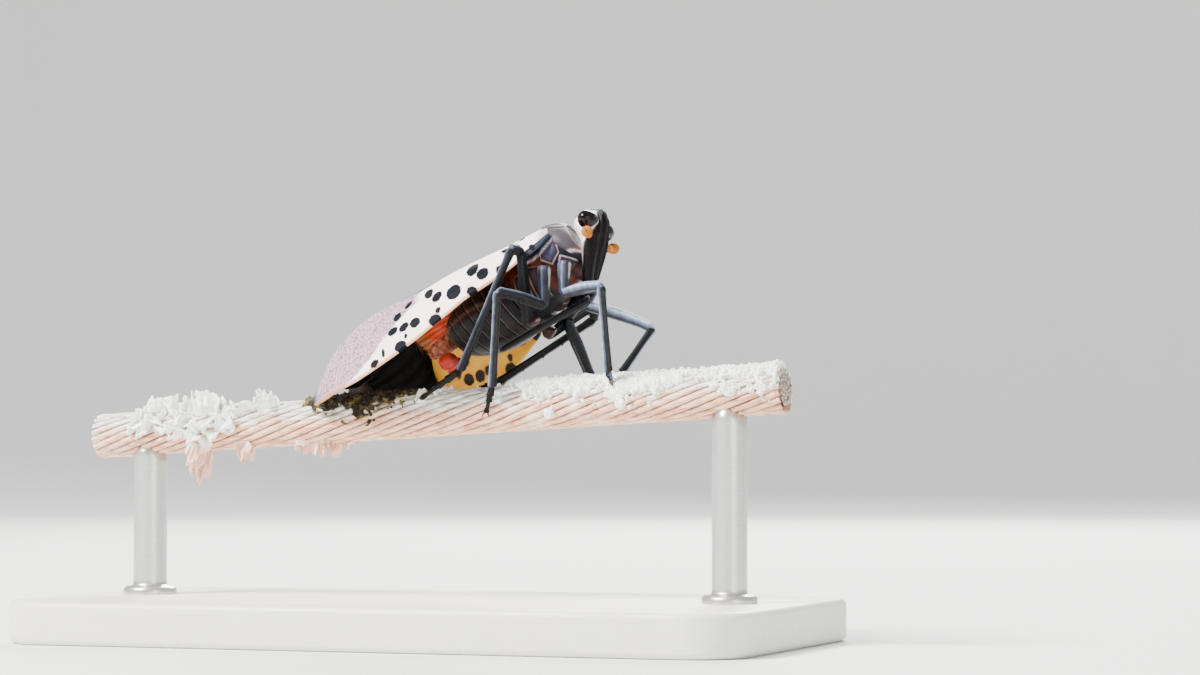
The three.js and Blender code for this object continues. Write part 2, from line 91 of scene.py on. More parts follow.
# Floor: a pale round sweep of painted board under the stand, so that no horizon shows.
# It runs flat below the stand and rises behind it on every side in a quarter circle.
def shade(red, green, blue):
    """A colour as it is seen on a screen, 0 to 255, in the linear light that shaders use."""
    def linear(value):
        value = value / 255
        return value / 12.92 if value <= 0.04045 else ((value + 0.055) / 1.055) ** 2.4
    return (linear(red), linear(green), linear(blue), 1.0)


def full_turn(count):
    """Angles spread once round."""
    return np.linspace(0, math.tau, count, endpoint=False)


def grid_of(rows, columns):
    """Two values over a grid, one that runs down its rows and one that runs along them."""
    return np.meshgrid(rows, columns, indexing="ij")


def grid_quads(rows, columns, closed=False):
    """Quads over a grid of points, rows by columns, whose last column may join the first."""
    across = columns if closed else columns - 1
    row, column = grid_of(np.arange(rows - 1), np.arange(across))
    here, after = row * columns + column, row * columns + (column + 1) % columns
    return np.stack([here, after, after + columns, here + columns], -1).reshape(-1, 4).tolist()


class Recipe:
    """A node tree, with short words for the nodes that finishes and growths are made of."""

    def __init__(self, tree):
        self.tree = tree

    def node(self, kind, inputs=(), **settings):
        """A node with its settings, and with its inputs set or linked."""
        made = self.tree.nodes.new(kind)
        for key, value in settings.items():
            setattr(made, key, value)
        for key, value in dict(inputs).items():
            if isinstance(value, bpy.types.NodeSocket):
                self.tree.links.new(value, made.inputs[key])
            else:
                made.inputs[key].default_value = value
        return made

    def sum_of(self, *values, operation="ADD"):
        """The socket of a sum, or of another sum in the tree's own word for it."""
        return self.node("ShaderNodeMath", dict(enumerate(values)), operation=operation).outputs[0]

    def times(self, first, second):
        """The socket of one value times another."""
        return self.sum_of(first, second, operation="MULTIPLY")

    def axes(self, vector):
        """The three sockets of a vector."""
        return self.node("ShaderNodeSeparateXYZ", {0: vector}).outputs

    def vector(self, *values):
        """The vector socket of up to three values."""
        return self.node("ShaderNodeCombineXYZ", dict(enumerate(values))).outputs[0]

    def fade(self, value, start, end):
        """A smooth step of a value from 0 at start to 1 at end."""
        places = {0: value, 1: start, 2: end, 3: 0.0, 4: 1.0}
        return self.node("ShaderNodeMapRange", places, interpolation_type="SMOOTHSTEP").outputs[0]

    def mottle(self, vector, scale, detail=3.0, roughness=0.55):
        """A noise at so many waves a metre."""
        sizes = {"Vector": vector, "Scale": scale, "Detail": detail, "Roughness": roughness}
        return self.node("ShaderNodeTexNoise", sizes).outputs["Fac"]

    def ragged(self, vector, scale, detail, depth):
        """A noise about zero that makes an edge ragged."""
        return self.times(self.sum_of(self.mottle(vector, scale, detail), -0.5), depth)

    def stretched(self, vector, scale):
        """A vector scaled along its axes."""
        return self.node("ShaderNodeMapping", {"Vector": vector, "Scale": scale}).outputs[0]

    def blend(self, share, first, second):
        """A mix of two colours."""
        return self.node("ShaderNodeMix", {0: share, 6: first, 7: second}, data_type="RGBA").outputs[2]


class Finish(Recipe):
    """A material with a principled shader, whose plain inputs are set on its own sockets."""

    def __init__(self, name, roughness, sockets=()):
        self.material = bpy.data.materials.new(name)
        self.material.use_nodes = True
        super().__init__(self.material.node_tree)
        self.shader = self.tree.nodes["Principled BSDF"]
        for key, value in {"Roughness": roughness, **dict(sockets)}.items():
            self.shader.inputs[key].default_value = value
        self.place = self.node("ShaderNodeTexCoord").outputs["Object"]

    def kept(self, name, output="Fac"):
        """A value kept at the points of the mesh."""
        return self.node("ShaderNodeAttribute", attribute_name=name).outputs[output]

    def coat(self, colour, grain, depth, strength):
        """Lays the colour on, with a grain that stands up to so many millimetres high."""
        self.tree.links.new(colour, self.shader.inputs["Base Color"])
        sizes = {"Height": grain, "Distance": depth * METRES, "Strength": strength}
        bump = self.node("ShaderNodeBump", sizes)
        self.tree.links.new(bump.outputs["Normal"], self.shader.inputs["Normal"])


FLOOR_REACH, FLOOR_RISE, FLOOR_STEPS, FLOOR_TURNS = 900.0, 420.0, 12, 96
floor_bend = np.radians(np.linspace(0, 90, FLOOR_STEPS + 1))[:, None]
floor_reach = FLOOR_REACH - FLOOR_RISE + FLOOR_RISE * np.sin(floor_bend)
floor_turn = full_turn(FLOOR_TURNS)[None]
floor_rings = np.stack([
    floor_reach * np.cos(floor_turn), floor_reach * np.sin(floor_turn),
    FLOOR_RISE * (1 - np.cos(floor_bend)) + 0 * floor_turn,
], -1)
floor_points = np.vstack([floor_rings.reshape(-1, 3), [[0.0, 0.0, 0.0]]])
floor_faces = grid_quads(FLOOR_STEPS + 1, FLOOR_TURNS, closed=True)
floor_faces += [[(turn + 1) % FLOOR_TURNS, turn, len(floor_points) - 1] for turn in range(FLOOR_TURNS)]
floor_mesh = bpy.data.meshes.new("floor")
floor_mesh.from_pydata((floor_points * METRES).tolist(), [], floor_faces)
floor_mesh.polygons.foreach_set("use_smooth", [True] * len(floor_mesh.polygons))
floor_paint = Finish("floor_paint", 0.8, {"Base Color": shade(222, 224, 220)})
floor_mesh.materials.append(floor_paint.material)
floor = bpy.data.objects.new("floor", floor_mesh)
bpy.context.scene.collection.objects.link(floor)

# Perch: a cut length of old stranded cable, eighteen outer wires laid round a core of thinner ones.
# The wires are drawn metal gone rough and rusty pink below, bleached and grey with lichen above.
CABLE_RADIUS = 1.6
CABLE_WIRES = 18
CABLE_REACH = 26.0
CABLE_HEIGHT = 15.83
CABLE_TILT = math.radians(3.3)
CABLE_PITCH = 29.0
WIRE_RADIUS = 0.243


def cable_point(x, angle, radius):
    """Points round the cable, by place along it, angle from its top to the right, and distance from its axis."""
    x, angle, radius = np.broadcast_arrays(np.asarray(x, float), angle, radius)
    rise = radius * np.cos(angle)
    return np.stack([
        x - rise * math.sin(CABLE_TILT),
        -radius * np.sin(angle),
        CABLE_HEIGHT + math.tan(CABLE_TILT) * x + rise * math.cos(CABLE_TILT),
    ], -1)


def on_cable(finish):
    """The place measured from the cable's own axis."""
    return finish.node("ShaderNodeMapping", {
        "Vector": finish.place, "Rotation": (0, CABLE_TILT, 0),
        "Location": (0, 0, -CABLE_HEIGHT * METRES * math.cos(CABLE_TILT)),
    }).outputs[0]


def finish_piece(name, mesh, replaced=(), finish=None):
    """Puts a mesh in the scene as a piece of the model, on its one body."""
    if finish:
        mesh.materials.append(finish.material)
    piece = bpy.data.objects.new(name, mesh)
    bpy.context.scene.collection.objects.link(piece)
    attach(piece, "root")
    if replaced:
        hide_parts(*replaced)


class Growth(Recipe):
    """A geometry node tree with a mesh coming in, named sizes as inputs and a mesh going out."""

    def __init__(self, name, sizes):
        super().__init__(bpy.data.node_groups.new(name, "GeometryNodeTree"))
        self.sizes = sizes
        for way in ("OUTPUT", "INPUT"):
            self.tree.interface.new_socket("Mesh", in_out=way, socket_type="NodeSocketGeometry")
        for key, value in sizes.items():
            kind = "NodeSocketInt" if isinstance(value, int) else "NodeSocketFloat"
            self.tree.interface.new_socket(key, in_out="INPUT", socket_type=kind)
        self.size = self.tree.nodes.new("NodeGroupInput").outputs

    def close(self, geometry, finish):
        """Ends the tree in Realize Instances, Set Material and the output."""
        real = self.node("GeometryNodeRealizeInstances", {"Geometry": geometry})
        dressed = {"Geometry": real.outputs[0], "Material": finish.material}
        coated = self.node("GeometryNodeSetMaterial", dressed)
        smooth = self.node("GeometryNodeSetShadeSmooth", {"Geometry": coated.outputs[0]})
        self.tree.links.new(smooth.outputs[0], self.tree.nodes.new("NodeGroupOutput").inputs[0])

    def grown(self, name, mesh):
        """The plain mesh that the tree makes on a mesh, its sizes set by identifier."""
        carrier = bpy.data.objects.new(name, mesh)
        bpy.context.scene.collection.objects.link(carrier)
        modifier = carrier.modifiers.new("grow", "NODES")
        modifier.node_group = self.tree
        for item in self.tree.interface.items_tree:
            if item.in_out == "INPUT" and item.name in self.sizes:
                modifier[item.identifier] = self.sizes[item.name]
        graph = bpy.context.evaluated_depsgraph_get()
        made = bpy.data.meshes.new_from_object(carrier.evaluated_get(graph))
        carrier.modifiers.clear()
        bpy.data.objects.remove(carrier)
        made.name = name
        return made


metal = Finish("weathered_wire", 0.78)
metal_level = on_cable(metal)
metal_axes = metal.axes(metal_level)
metal_flat = metal.stretched(metal_level, (0, 1, 1))
metal_out = metal.node("ShaderNodeVectorMath", {0: metal_flat}, operation="LENGTH").outputs["Value"]
groove_shade_and_rust = metal.fade(metal_out, 1.56 * METRES, 1.42 * METRES)
streak = metal.mottle(metal.stretched(metal_level, (0.12, 1, 1)), 5200, 5.0, 0.65)
patch = metal.mottle(metal_level, 700, 5.0, 0.6)
wire_colour = metal.blend(metal.fade(streak, 0.36, 0.62), shade(206, 138, 104), shade(238, 196, 168))
wire_colour = metal.blend(metal.fade(patch, 0.5, 0.72), wire_colour, shade(234, 208, 186))
bleached = metal.sum_of(metal_axes[2], metal.times(patch, 2.4 * METRES))
grey_streak = metal.blend(metal.fade(streak, 0.38, 0.58), shade(178, 164, 148), shade(240, 236, 230))
wire_colour = metal.blend(metal.fade(bleached, 0.9 * METRES, 2.1 * METRES), wire_colour, grey_streak)
dirt_noise = metal.mottle(metal.stretched(metal_level, (0.5, 1, 1)), 640, 6.0, 0.7)
dirt = metal.times(metal.fade(dirt_noise, 0.47, 0.6), metal.fade(metal_axes[2], -0.9 * METRES, 0.9 * METRES))
dirt_near_wing = metal.fade(metal_axes[0], 1.0 * METRES, -3.0 * METRES)
dirt_ends = metal.fade(metal_axes[0], -11.0 * METRES, -7.0 * METRES)
dirt = metal.times(dirt, metal.times(dirt_near_wing, dirt_ends))
dirt_colour = metal.blend(metal.fade(streak, 0.45, 0.6), shade(62, 46, 26), shade(150, 128, 74))
wire_colour = metal.blend(dirt, wire_colour, dirt_colour)
# Painted shade with rust: the grooves between the wires, near the core, are darkened to a deep brown.
wire_colour = metal.blend(metal.times(groove_shade_and_rust, metal.fade(patch, 0.75, 0.35)), wire_colour, shade(62, 34, 22))
metal.coat(wire_colour, streak, 0.06, 0.7)

wires = Growth("laid_wires", {
    "Reach": CABLE_REACH * METRES, "Pitch": CABLE_PITCH * METRES, "Wires": CABLE_WIRES,
    "Off Axis": (CABLE_RADIUS - WIRE_RADIUS) * METRES, "Wire Radius": WIRE_RADIUS * METRES,
    "Steps": 180, "Roughness": 0.045 * METRES, "Grain": 2600.0,
})
wire_line = wires.node("GeometryNodeCurvePrimitiveLine", {"Start": (-1, 0, 0), "End": (1, 0, 0)})
wire_steps = wires.node("GeometryNodeResampleCurve", {
    "Curve": wire_line.outputs[0], "Count": wires.size["Steps"],
})
wire_x = wires.times(wires.axes(wires.node("GeometryNodeInputPosition").outputs[0])[0], wires.size["Reach"])
wire_turn = wires.times(wires.sum_of(wire_x, wires.size["Pitch"], operation="DIVIDE"), math.tau)
wire_y, wire_z = (
    wires.times(wires.sum_of(wire_turn, operation=wave), wires.size["Off Axis"])
    for wave in ("SINE", "COSINE")
)
wire_path = wires.node("GeometryNodeSetPosition", {
    "Geometry": wire_steps.outputs[0], "Position": wires.vector(wire_x, wire_y, wire_z),
})
wire_round = wires.node("GeometryNodeCurvePrimitiveCircle", {
    "Resolution": 14, "Radius": wires.size["Wire Radius"],
})
wire_tube = wires.node("GeometryNodeCurveToMesh", {
    "Curve": wire_path.outputs[0], "Profile Curve": wire_round.outputs[0], "Fill Caps": True,
})
wire_seats = wires.node("GeometryNodePoints", {"Count": wires.size["Wires"]})
wire_number = wires.node("GeometryNodeInputIndex").outputs[0]
wire_share = wires.sum_of(wire_number, wires.size["Wires"], operation="DIVIDE")
wire_copies = wires.node("GeometryNodeInstanceOnPoints", {
    "Points": wire_seats.outputs[0], "Instance": wire_tube.outputs[0],
    "Rotation": wires.vector(wires.times(wire_share, math.tau)),
})
wire_real = wires.node("GeometryNodeRealizeInstances", {"Geometry": wire_copies.outputs[0]})
wire_noise = wires.node("ShaderNodeTexNoise", {"Scale": wires.size["Grain"], "Detail": 4.0}).outputs["Fac"]
wire_offset = wires.node("ShaderNodeVectorMath", {
    0: wires.node("GeometryNodeInputNormal").outputs[0],
    "Scale": wires.times(wires.sum_of(wire_noise, -0.5), wires.size["Roughness"]),
}, operation="SCALE")
wire_rough = wires.node("GeometryNodeSetPosition", {
    "Geometry": wire_real.outputs[0], "Offset": wire_offset.outputs[0],
})
wires.close(wire_rough.outputs[0], metal)
wires_mesh = wires.grown("wires", bpy.data.meshes.new("wires_seed"))
cable_lift = Matrix.Translation((0, 0, CABLE_HEIGHT * METRES))
wires_mesh.transform(cable_lift @ Matrix.Rotation(-CABLE_TILT, 4, "Y"))
finish_piece("cable_wires", wires_mesh, ("perch_cable",))


# Core of the cable: it fills the middle, and shows at each cut end as a ring of twelve, six and one wires.
# Each end wire is a short drawn stub with a softly broken edge, rustier in the grain than on the cut.
def lofted(rings):
    """Points and faces of a tube through rings, closed by a point at each end."""
    rings = np.asarray(rings, float)
    count, sides = rings.shape[:2]
    points = np.vstack([rings.reshape(-1, 3), rings[0].mean(0), rings[-1].mean(0)])
    faces = grid_quads(count, sides, closed=True)
    last = (count - 1) * sides
    for side in range(sides):
        after = (side + 1) % sides
        faces.append([after, side, count * sides])
        faces.append([last + side, last + after, count * sides + 1])
    return points, faces


def joined(shapes):
    """Several (points, faces) shapes as one, with any further columns of values stacked alongside."""
    faces = []
    start = 0
    for shape in shapes:
        faces += [[index + start for index in face] for face in shape[1]]
        start += len(shape[0])
    extras = [np.concatenate([shape[extra] for shape in shapes]) for extra in range(2, len(shapes[0]))]
    return [np.vstack([shape[0] for shape in shapes]), faces, *extras]


def make_mesh(name, points, faces, values=None):
    """A mesh in metres from millimetre points, its faces turned outwards, with values kept at its points."""
    mesh = bpy.data.meshes.new(name)
    mesh.from_pydata((np.asarray(points, float) * METRES).tolist(), [], faces)
    for key, data in (values or {}).items():
        data = np.asarray(data, np.float32)
        if data.ndim == 2:
            colours = np.ones((len(data), 4), np.float32)
            colours[:, :3] = data
            mesh.attributes.new(key, "FLOAT_COLOR", "POINT").data.foreach_set("color", colours.ravel())
        else:
            mesh.attributes.new(key, "FLOAT", "POINT").data.foreach_set("value", data)
    turning = bmesh.new()
    turning.from_mesh(mesh)
    bmesh.ops.recalc_face_normals(turning, faces=turning.faces)
    turning.to_mesh(mesh)
    turning.free()
    mesh.polygons.foreach_set("use_smooth", [True] * len(mesh.polygons))
    mesh.update()
    return mesh


CORE_RADIUS, STUB_RADIUS = 1.2, 0.225
core_turns, stub_turns = full_turn(24), full_turn(12)
core_shapes = [lofted([
    cable_point(x, core_turns, CORE_RADIUS) for x in np.linspace(-CABLE_REACH + 0.5, CABLE_REACH - 0.5, 40)
])]
for end in (-1, 1):
    for ring_wires, ring_radius in ((12, 0.9), (6, 0.46), (1, 0.0)):
        for wire in range(ring_wires):
            seat = math.tau * (wire + 0.3 * ring_radius) / ring_wires
            rings = []
            for inset, size in ((2.0, 1), (0.1, 1), (0.03, 0.93), (0.0, 0.75)):
                x = end * (CABLE_REACH - inset)
                rim = cable_point(x, stub_turns, STUB_RADIUS * size) - cable_point(x, 0, 0)
                rings.append(cable_point(x, seat, ring_radius) + rim)
            core_shapes.append(lofted(rings))
cut = Finish("cut_wire", 0.5, {"Metallic": 0.5})
cut_grain = cut.mottle(cut.place, 5000)
cut_colour = cut.blend(cut.fade(cut_grain, 0.35, 0.65), shade(120, 92, 76), shade(190, 178, 166))
cut.coat(cut_colour, cut_grain, 0.02, 0.5)
finish_piece("cable_core", make_mesh("cable_core", *joined(core_shapes)), (), cut)


# Lichen: chalky white growth on the cable, a crust of fine grains on top and a clump of ruffled leafy lobes.
# Each lobe is a thin sheet with a notched and curled edge, rooted in the cable.
# A lobe row holds its place along the cable, its angle from the top, its reach and its half width.
LOBES = [
    [-21.7, 60, 2.6, 1.4], [-20.5, 15, 3.2, 1.5], [-19.2, 85, 2.7, 1.5], [-18.4, -50, 2.6, 1.3],
    [-17.0, 20, 3.2, 1.5], [-16.6, 95, 2.7, 1.4], [-17.4, 165, 4.6, 0.9], [-14.9, 150, 3.5, 0.7],
    [-14.6, 60, 2.8, 1.4], [-14.2, -60, 2.5, 1.2], [-12.2, 25, 3.3, 0.9], [-8.2, 170, 3.1, 0.6],
    [-9.6, 160, 2.4, 0.6], [-7.0, 175, 2.3, 0.5],
]
LOBE_ROWS, LOBE_COLUMNS = 16, 26
chalk = Finish("chalky_lichen", 0.9)
chalk_grain = chalk.mottle(chalk.place, 9000, 4.0, 0.7)
chalk_patch = chalk.mottle(chalk.place, 900)
chalk_colour = chalk.blend(chalk.fade(chalk_patch, 0.35, 0.6), shade(236, 238, 232), shade(254, 254, 252))
chalk_colour = chalk.blend(chalk.fade(chalk_grain, 0.42, 0.3), chalk_colour, shade(168, 170, 156))
chalk_below = chalk.fade(chalk.axes(on_cable(chalk))[2], -0.9 * METRES, -1.7 * METRES)
chalk.coat(chalk.blend(chalk_below, chalk_colour, shade(232, 188, 162)), chalk_grain, 0.05, 0.7)


def thin_shell(outer, inner):
    """A closed sheet from its outer and inner grids of points, its outer faces first."""
    rows, columns = outer.shape[:2]
    quads = grid_quads(rows, columns)
    count = rows * columns
    rim = list(range(columns)) + [row * columns + columns - 1 for row in range(1, rows)]
    rim += [(rows - 1) * columns + column for column in range(columns - 2, -1, -1)]
    rim += [row * columns for row in range(rows - 2, 0, -1)]
    faces = quads + [[index + count for index in reversed(face)] for face in quads]
    faces += [[a, b, b + count, a + count] for a, b in zip(rim, rim[1:] + rim[:1])]
    return np.vstack([outer.reshape(-1, 3), inner.reshape(-1, 3)]), faces


chance = np.random.default_rng(7)
lobe_shapes = []
row, column = grid_of(np.linspace(0, 1, LOBE_ROWS), np.linspace(-1, 1, LOBE_COLUMNS))
for lobe_x, lobe_angle, lobe_reach, lobe_half in LOBES:
    for leaf in range(4 if lobe_half > 1 else 2):
        x = lobe_x + chance.uniform(-0.9, 0.9)
        angle = math.radians(lobe_angle + chance.uniform(-24, 24))
        reach = lobe_reach * chance.uniform(0.86, 1.0) - 1.3
        half = lobe_half * chance.uniform(0.75, 1.0)
        lean = chance.uniform(-0.7, 0.7)
        turn = chance.uniform(-0.9, 0.9)
        phase = chance.uniform(0, math.tau, 4)
        out = cable_point(x, angle, 1.0) - cable_point(x, angle, 0.0)
        across = np.array([math.cos(turn), 0, 0]) + math.sin(turn) * np.cross(out, [1, 0, 0])
        normal = np.cross(out, across)
        notch = 0.78 + 0.12 * np.sin(5 * column + phase[0]) + 0.1 * np.sin(12 * column + phase[1])
        notch += 0.06 * np.sin(23 * column + phase[2])
        jagged = chance.uniform(0.8, 1.0, LOBE_COLUMNS)
        length = reach * row * notch * jagged * np.clip(1.08 - column ** 2, 0, 1) ** 0.35
        width = half * column * (0.35 + 0.65 * np.sin(0.5 * math.pi * np.clip(row * 1.3, 0, 1)))
        curl = 0.5 * row ** 2 * lean + 0.22 * row * np.sin(6 * column + phase[2])
        curl += 0.1 * row * np.sin(9 * row + phase[3])
        curl += 0.3 * row ** 3 * np.cos(4 * column + phase[1]) + 0.08 * row * np.sin(17 * column + phase[0])
        sheet = cable_point(x, angle, 1.3) + length[..., None] * out + width[..., None] * across
        sheet += curl[..., None] * normal
        thickness = (0.16 - 0.08 * row)[..., None] * normal
        lobe_shapes.append(thin_shell(sheet + thickness, sheet - thickness))
finish_piece("lichen_leaves", make_mesh("lichen_leaves", *joined(lobe_shapes)), (), chalk)


# Crust and moss: beds that lie on the wires in ragged islands, with grains and blades scattered over them.
# White crust covers the top ahead of the insect, and brown moss the damp near side under its wing tips.
def ripple(x, y, seed, waves):
    """Smooth seeded noise between about -1 and 1 from a few crossing waves."""
    draw = np.random.default_rng(seed)
    total = np.zeros_like(x)
    for index in range(waves):
        heading = draw.uniform(0, math.tau)
        pace = draw.uniform(0.7, 1.6) * 1.35 ** (index % 6)
        total += np.sin(pace * (x * math.cos(heading) + y * math.sin(heading)) + draw.uniform(0, math.tau))
    return total / math.sqrt(waves)


def growth_bed(name, x, angle, cover, thick):
    """A bed on the cable that rises where its cover is positive and dives under the wires elsewhere."""
    y = angle * CABLE_RADIUS
    lumps = np.abs(ripple(x * 1.9, y * 1.9, 7, 16))
    grainy = 0.45 * ripple(x * 6, y * 6, 5, 24) + 0.3 * ripple(x * 13, y * 13, 6, 20)
    lumps = 0.75 * lumps * np.clip(cover * 3, 0, 1)
    rise = thick * (0.5 + 0.3 * np.clip(cover * 2, 0, 1) + lumps + 0.3 * grainy)
    rise = np.where(cover < 0, -0.2 + 2.5 * cover, rise)
    bed = cable_point(x, angle, CABLE_RADIUS + np.clip(rise, -0.35, 0.5))
    points, faces = thin_shell(bed, cable_point(x, angle, CABLE_RADIUS - 0.4))
    shell_cover = np.concatenate([np.clip(cover, 0, 1).ravel(), np.zeros(x.size)])
    return make_mesh(name, points, faces, {"cover": shell_cover})


def seats_on(growth, by_cover):
    """Seats spread over the incoming mesh, in places only as thick as its cover."""
    density = growth.size["Density"]
    if by_cover:
        cover = growth.node("GeometryNodeInputNamedAttribute", {"Name": "cover"}, data_type="FLOAT")
        density = growth.times(cover.outputs[0], density)
    return growth.node("GeometryNodeDistributePointsOnFaces", {
        "Mesh": growth.size["Mesh"], "Density": density, "Seed": growth.size["Seed"],
    }).outputs


def draw_between(growth, least, most, seed):
    """A seeded draw for each seat, of a size or of a direction."""
    kind, first, output = ("FLOAT_VECTOR", 0, 0) if isinstance(least, tuple) else ("FLOAT", 2, 1)
    limits = {first: least, first + 1: most, "Seed": seed}
    return growth.node("FunctionNodeRandomValue", limits, data_type=kind).outputs[output]


def scatter(growth, seats, shape, turn, scale, finish):
    """Ends a growth in a copy of a shape on each seat."""
    copies = growth.node("GeometryNodeInstanceOnPoints", {
        "Points": seats[0], "Instance": shape.outputs[0], "Rotation": turn, "Scale": scale,
    })
    growth.close(copies.outputs[0], finish)


def bristles(growth, seats, lean, scale, finish):
    """Ends a growth in thin cones that stand on the seats and lean to one side."""
    cone = growth.node("GeometryNodeMeshCone", {
        "Vertices": 4, "Radius Top": 0.0, "Radius Bottom": growth.size["Thickness"],
        "Depth": growth.size["Length"],
    })
    way = growth.node("ShaderNodeVectorMath", {0: seats["Normal"], 1: lean}, operation="ADD").outputs[0]
    turn = growth.node("FunctionNodeAlignRotationToVector", {"Vector": way}, axis="Z").outputs[0]
    scatter(growth, seats, cone, turn, scale, finish)


CRUST_PATCHES = [
    (-0.4, 48, 0.75), (0.9, 12, 0.5), (5.6, 62, 0.5), (9.5, 112, 0.4), (22.6, 82, 0.6), (14.4, 66, 0.5),
]
crust_x, crust_angle = grid_of(np.linspace(-3.2, 25.8, 400), np.radians(np.linspace(-95, 140, 120)))
crust_y = crust_angle * CABLE_RADIUS
crust_cover = 1.15 - np.abs(crust_angle - 0.12) * 1.2 + 0.34 * ripple(crust_x * 1.6, crust_y * 1.6, 3, 18)
crust_cover += 0.4 * ripple(crust_x * 0.5, crust_y * 0.4, 4, 8) - 1.4 * np.clip((8.6 - crust_x) / 2.6, 0, 1)
crust_cover += 0.3 * ripple(crust_x * 4.5, crust_y * 4.5, 8, 20)
for patch_x, patch_angle, patch_size in CRUST_PATCHES:
    away = np.hypot(crust_x - patch_x, crust_y - math.radians(patch_angle) * CABLE_RADIUS) / patch_size
    crust_cover += 1.9 * np.exp(-away ** 2)
crust_mesh = growth_bed("lichen_crust", crust_x, crust_angle, crust_cover, 0.2)
finish_piece("lichen_crust", crust_mesh, (), chalk)
grains = Growth("lichen_grains", {"Density": 34.0e6, "Grain": 0.125 * METRES, "Seed": 11})
grain_ball = grains.node("GeometryNodeMeshIcoSphere", {"Radius": grains.size["Grain"], "Subdivisions": 1})
scatter(
    grains, seats_on(grains, True), grain_ball, draw_between(grains, (0, 0, 0), (6, 6, 6), 4),
    draw_between(grains, 0.35, 1.25, 3), chalk)
finish_piece("lichen_grains", grains.grown("lichen_grains", crust_mesh))

moss = Finish("damp_moss", 0.85)
moss_patch = moss.mottle(moss.place, 1400, 4.0, 0.6)
moss_grain = moss.mottle(moss.place, 9000, 3.0, 0.6)
moss_colour = moss.blend(moss.fade(moss_patch, 0.48, 0.66), shade(30, 19, 9), shade(112, 94, 38))
moss_colour = moss.blend(moss.fade(moss_grain, 0.64, 0.76), moss_colour, shade(176, 152, 70))
moss.coat(moss_colour, moss_grain, 0.05, 0.8)
moss_x, moss_angle = grid_of(np.linspace(-9.5, 0.5, 170), np.radians(np.linspace(-60, 110, 90)))
moss_y = moss_angle * CABLE_RADIUS
moss_cover = 1.15 - np.abs(moss_angle - 0.3) * 1.05 - np.abs(moss_x + 4.9) * 0.22
moss_cover += 0.36 * ripple(moss_x * 1.8, moss_y * 1.8, 14, 18)
moss_cover += 0.24 * ripple(moss_x * 3.6, moss_y * 3.6, 15, 18)
moss_mesh = growth_bed("moss_bed", moss_x, moss_angle, moss_cover, 0.16)
finish_piece("moss_bed", moss_mesh, (), moss)
blades = Growth("moss_blades", {
    "Density": 42.0e6, "Length": 0.17 * METRES, "Thickness": 0.05 * METRES, "Seed": 21,
})
bristles(
    blades, seats_on(blades, True), draw_between(blades, (-0.9, -0.9, -0.4), (0.9, 0.9, 0.6), 6),
    draw_between(blades, 0.5, 1.3, 9), moss)
finish_piece("moss_blades", blades.grown("moss_blades", moss_mesh))

# Stand: a plain slab of pale lacquered wood with softly rounded edges, and two turned steel rods.
# Each rod sits in the slab on a small foot, and its top is cut to a shallow saddle under the cable.
BASE_LENGTH, BASE_WIDTH, BASE_HEIGHT, BASE_CORNER, BASE_EDGE = 54.0, 28.0, 3.0, 4.0, 0.5
lacquer = Finish("satin_lacquer", 0.42)
lacquer_peel = lacquer.mottle(lacquer.place, 1300, 2.0)
lacquer_colour = lacquer.blend(lacquer_peel, shade(214, 211, 204), shade(228, 226, 220))
lacquer.coat(lacquer_colour, lacquer_peel, 0.02, 0.4)


def slab_ring(inset, height):
    """The outline of the base, drawn in by an inset, at a height."""
    ring = []
    for sx, sy, start in ((1, -1, -90), (1, 1, 0), (-1, 1, 90), (-1, -1, 180)):
        for bend in np.radians(start + np.linspace(0, 90, 13)):
            ring.append((
                sx * (BASE_LENGTH / 2 - BASE_CORNER) + (BASE_CORNER - inset) * math.cos(bend),
                sy * (BASE_WIDTH / 2 - BASE_CORNER) + (BASE_CORNER - inset) * math.sin(bend),
                height,
            ))
    return ring


edge_bends = np.radians(np.linspace(0, 90, 9))
base_rings = [slab_ring(inset, 0.0) for inset in (3.9, 1.2, BASE_EDGE)]
for bend in edge_bends[1:]:
    base_rings.append(slab_ring(BASE_EDGE * (1 - math.sin(bend)), BASE_EDGE * (1 - math.cos(bend))))
for bend in edge_bends:
    height = BASE_HEIGHT - BASE_EDGE * (1 - math.sin(bend))
    base_rings.append(slab_ring(BASE_EDGE * (1 - math.cos(bend)), height))
base_rings += [slab_ring(inset, BASE_HEIGHT) for inset in (0.9, 2.0, 3.9)]
finish_piece("stand_slab", make_mesh("stand_slab", *lofted(base_rings)), ("stand_base",), lacquer)

ROD_START, SADDLE_RADIUS = 4.0, 1.42
ROD_FOOT = [(2.7, 1.9), (3.35, 1.9), (3.55, 1.75), (3.6, 1.3), (3.75, 1.2), (ROD_START, 1.2)]
steel = Finish("brushed_steel", 0.34, {"Metallic": 0.9})
steel_brush = steel.mottle(steel.stretched(steel.place, (1, 1, 14)), 1500, 4.0)
steel.coat(steel.blend(steel_brush, shade(172, 172, 170), shade(214, 213, 210)), steel_brush, 0.01, 0.5)
rod_turns = full_turn(48)
for rod_name, rod_x in (("front", 22.0), ("back", -22.0)):
    rod_rings = []
    for height, radius in ROD_FOOT:
        x, y = rod_x + radius * np.cos(rod_turns), radius * np.sin(rod_turns)
        rod_rings.append(np.stack([x, y, height + 0 * x], -1))
    saddle = np.sqrt(SADDLE_RADIUS ** 2 - np.minimum(np.abs(y), 1.3) ** 2)
    under = CABLE_HEIGHT + math.tan(CABLE_TILT) * x - saddle
    for share in np.linspace(0.1, 1, 12):
        rod_rings.append(np.stack([x, y, ROD_START + share * (under - ROD_START)], -1))
    mesh = make_mesh("stand_post_" + rod_name, *lofted(rod_rings))
    finish_piece("stand_post_" + rod_name, mesh, ("stand_rod_" + rod_name,), steel)

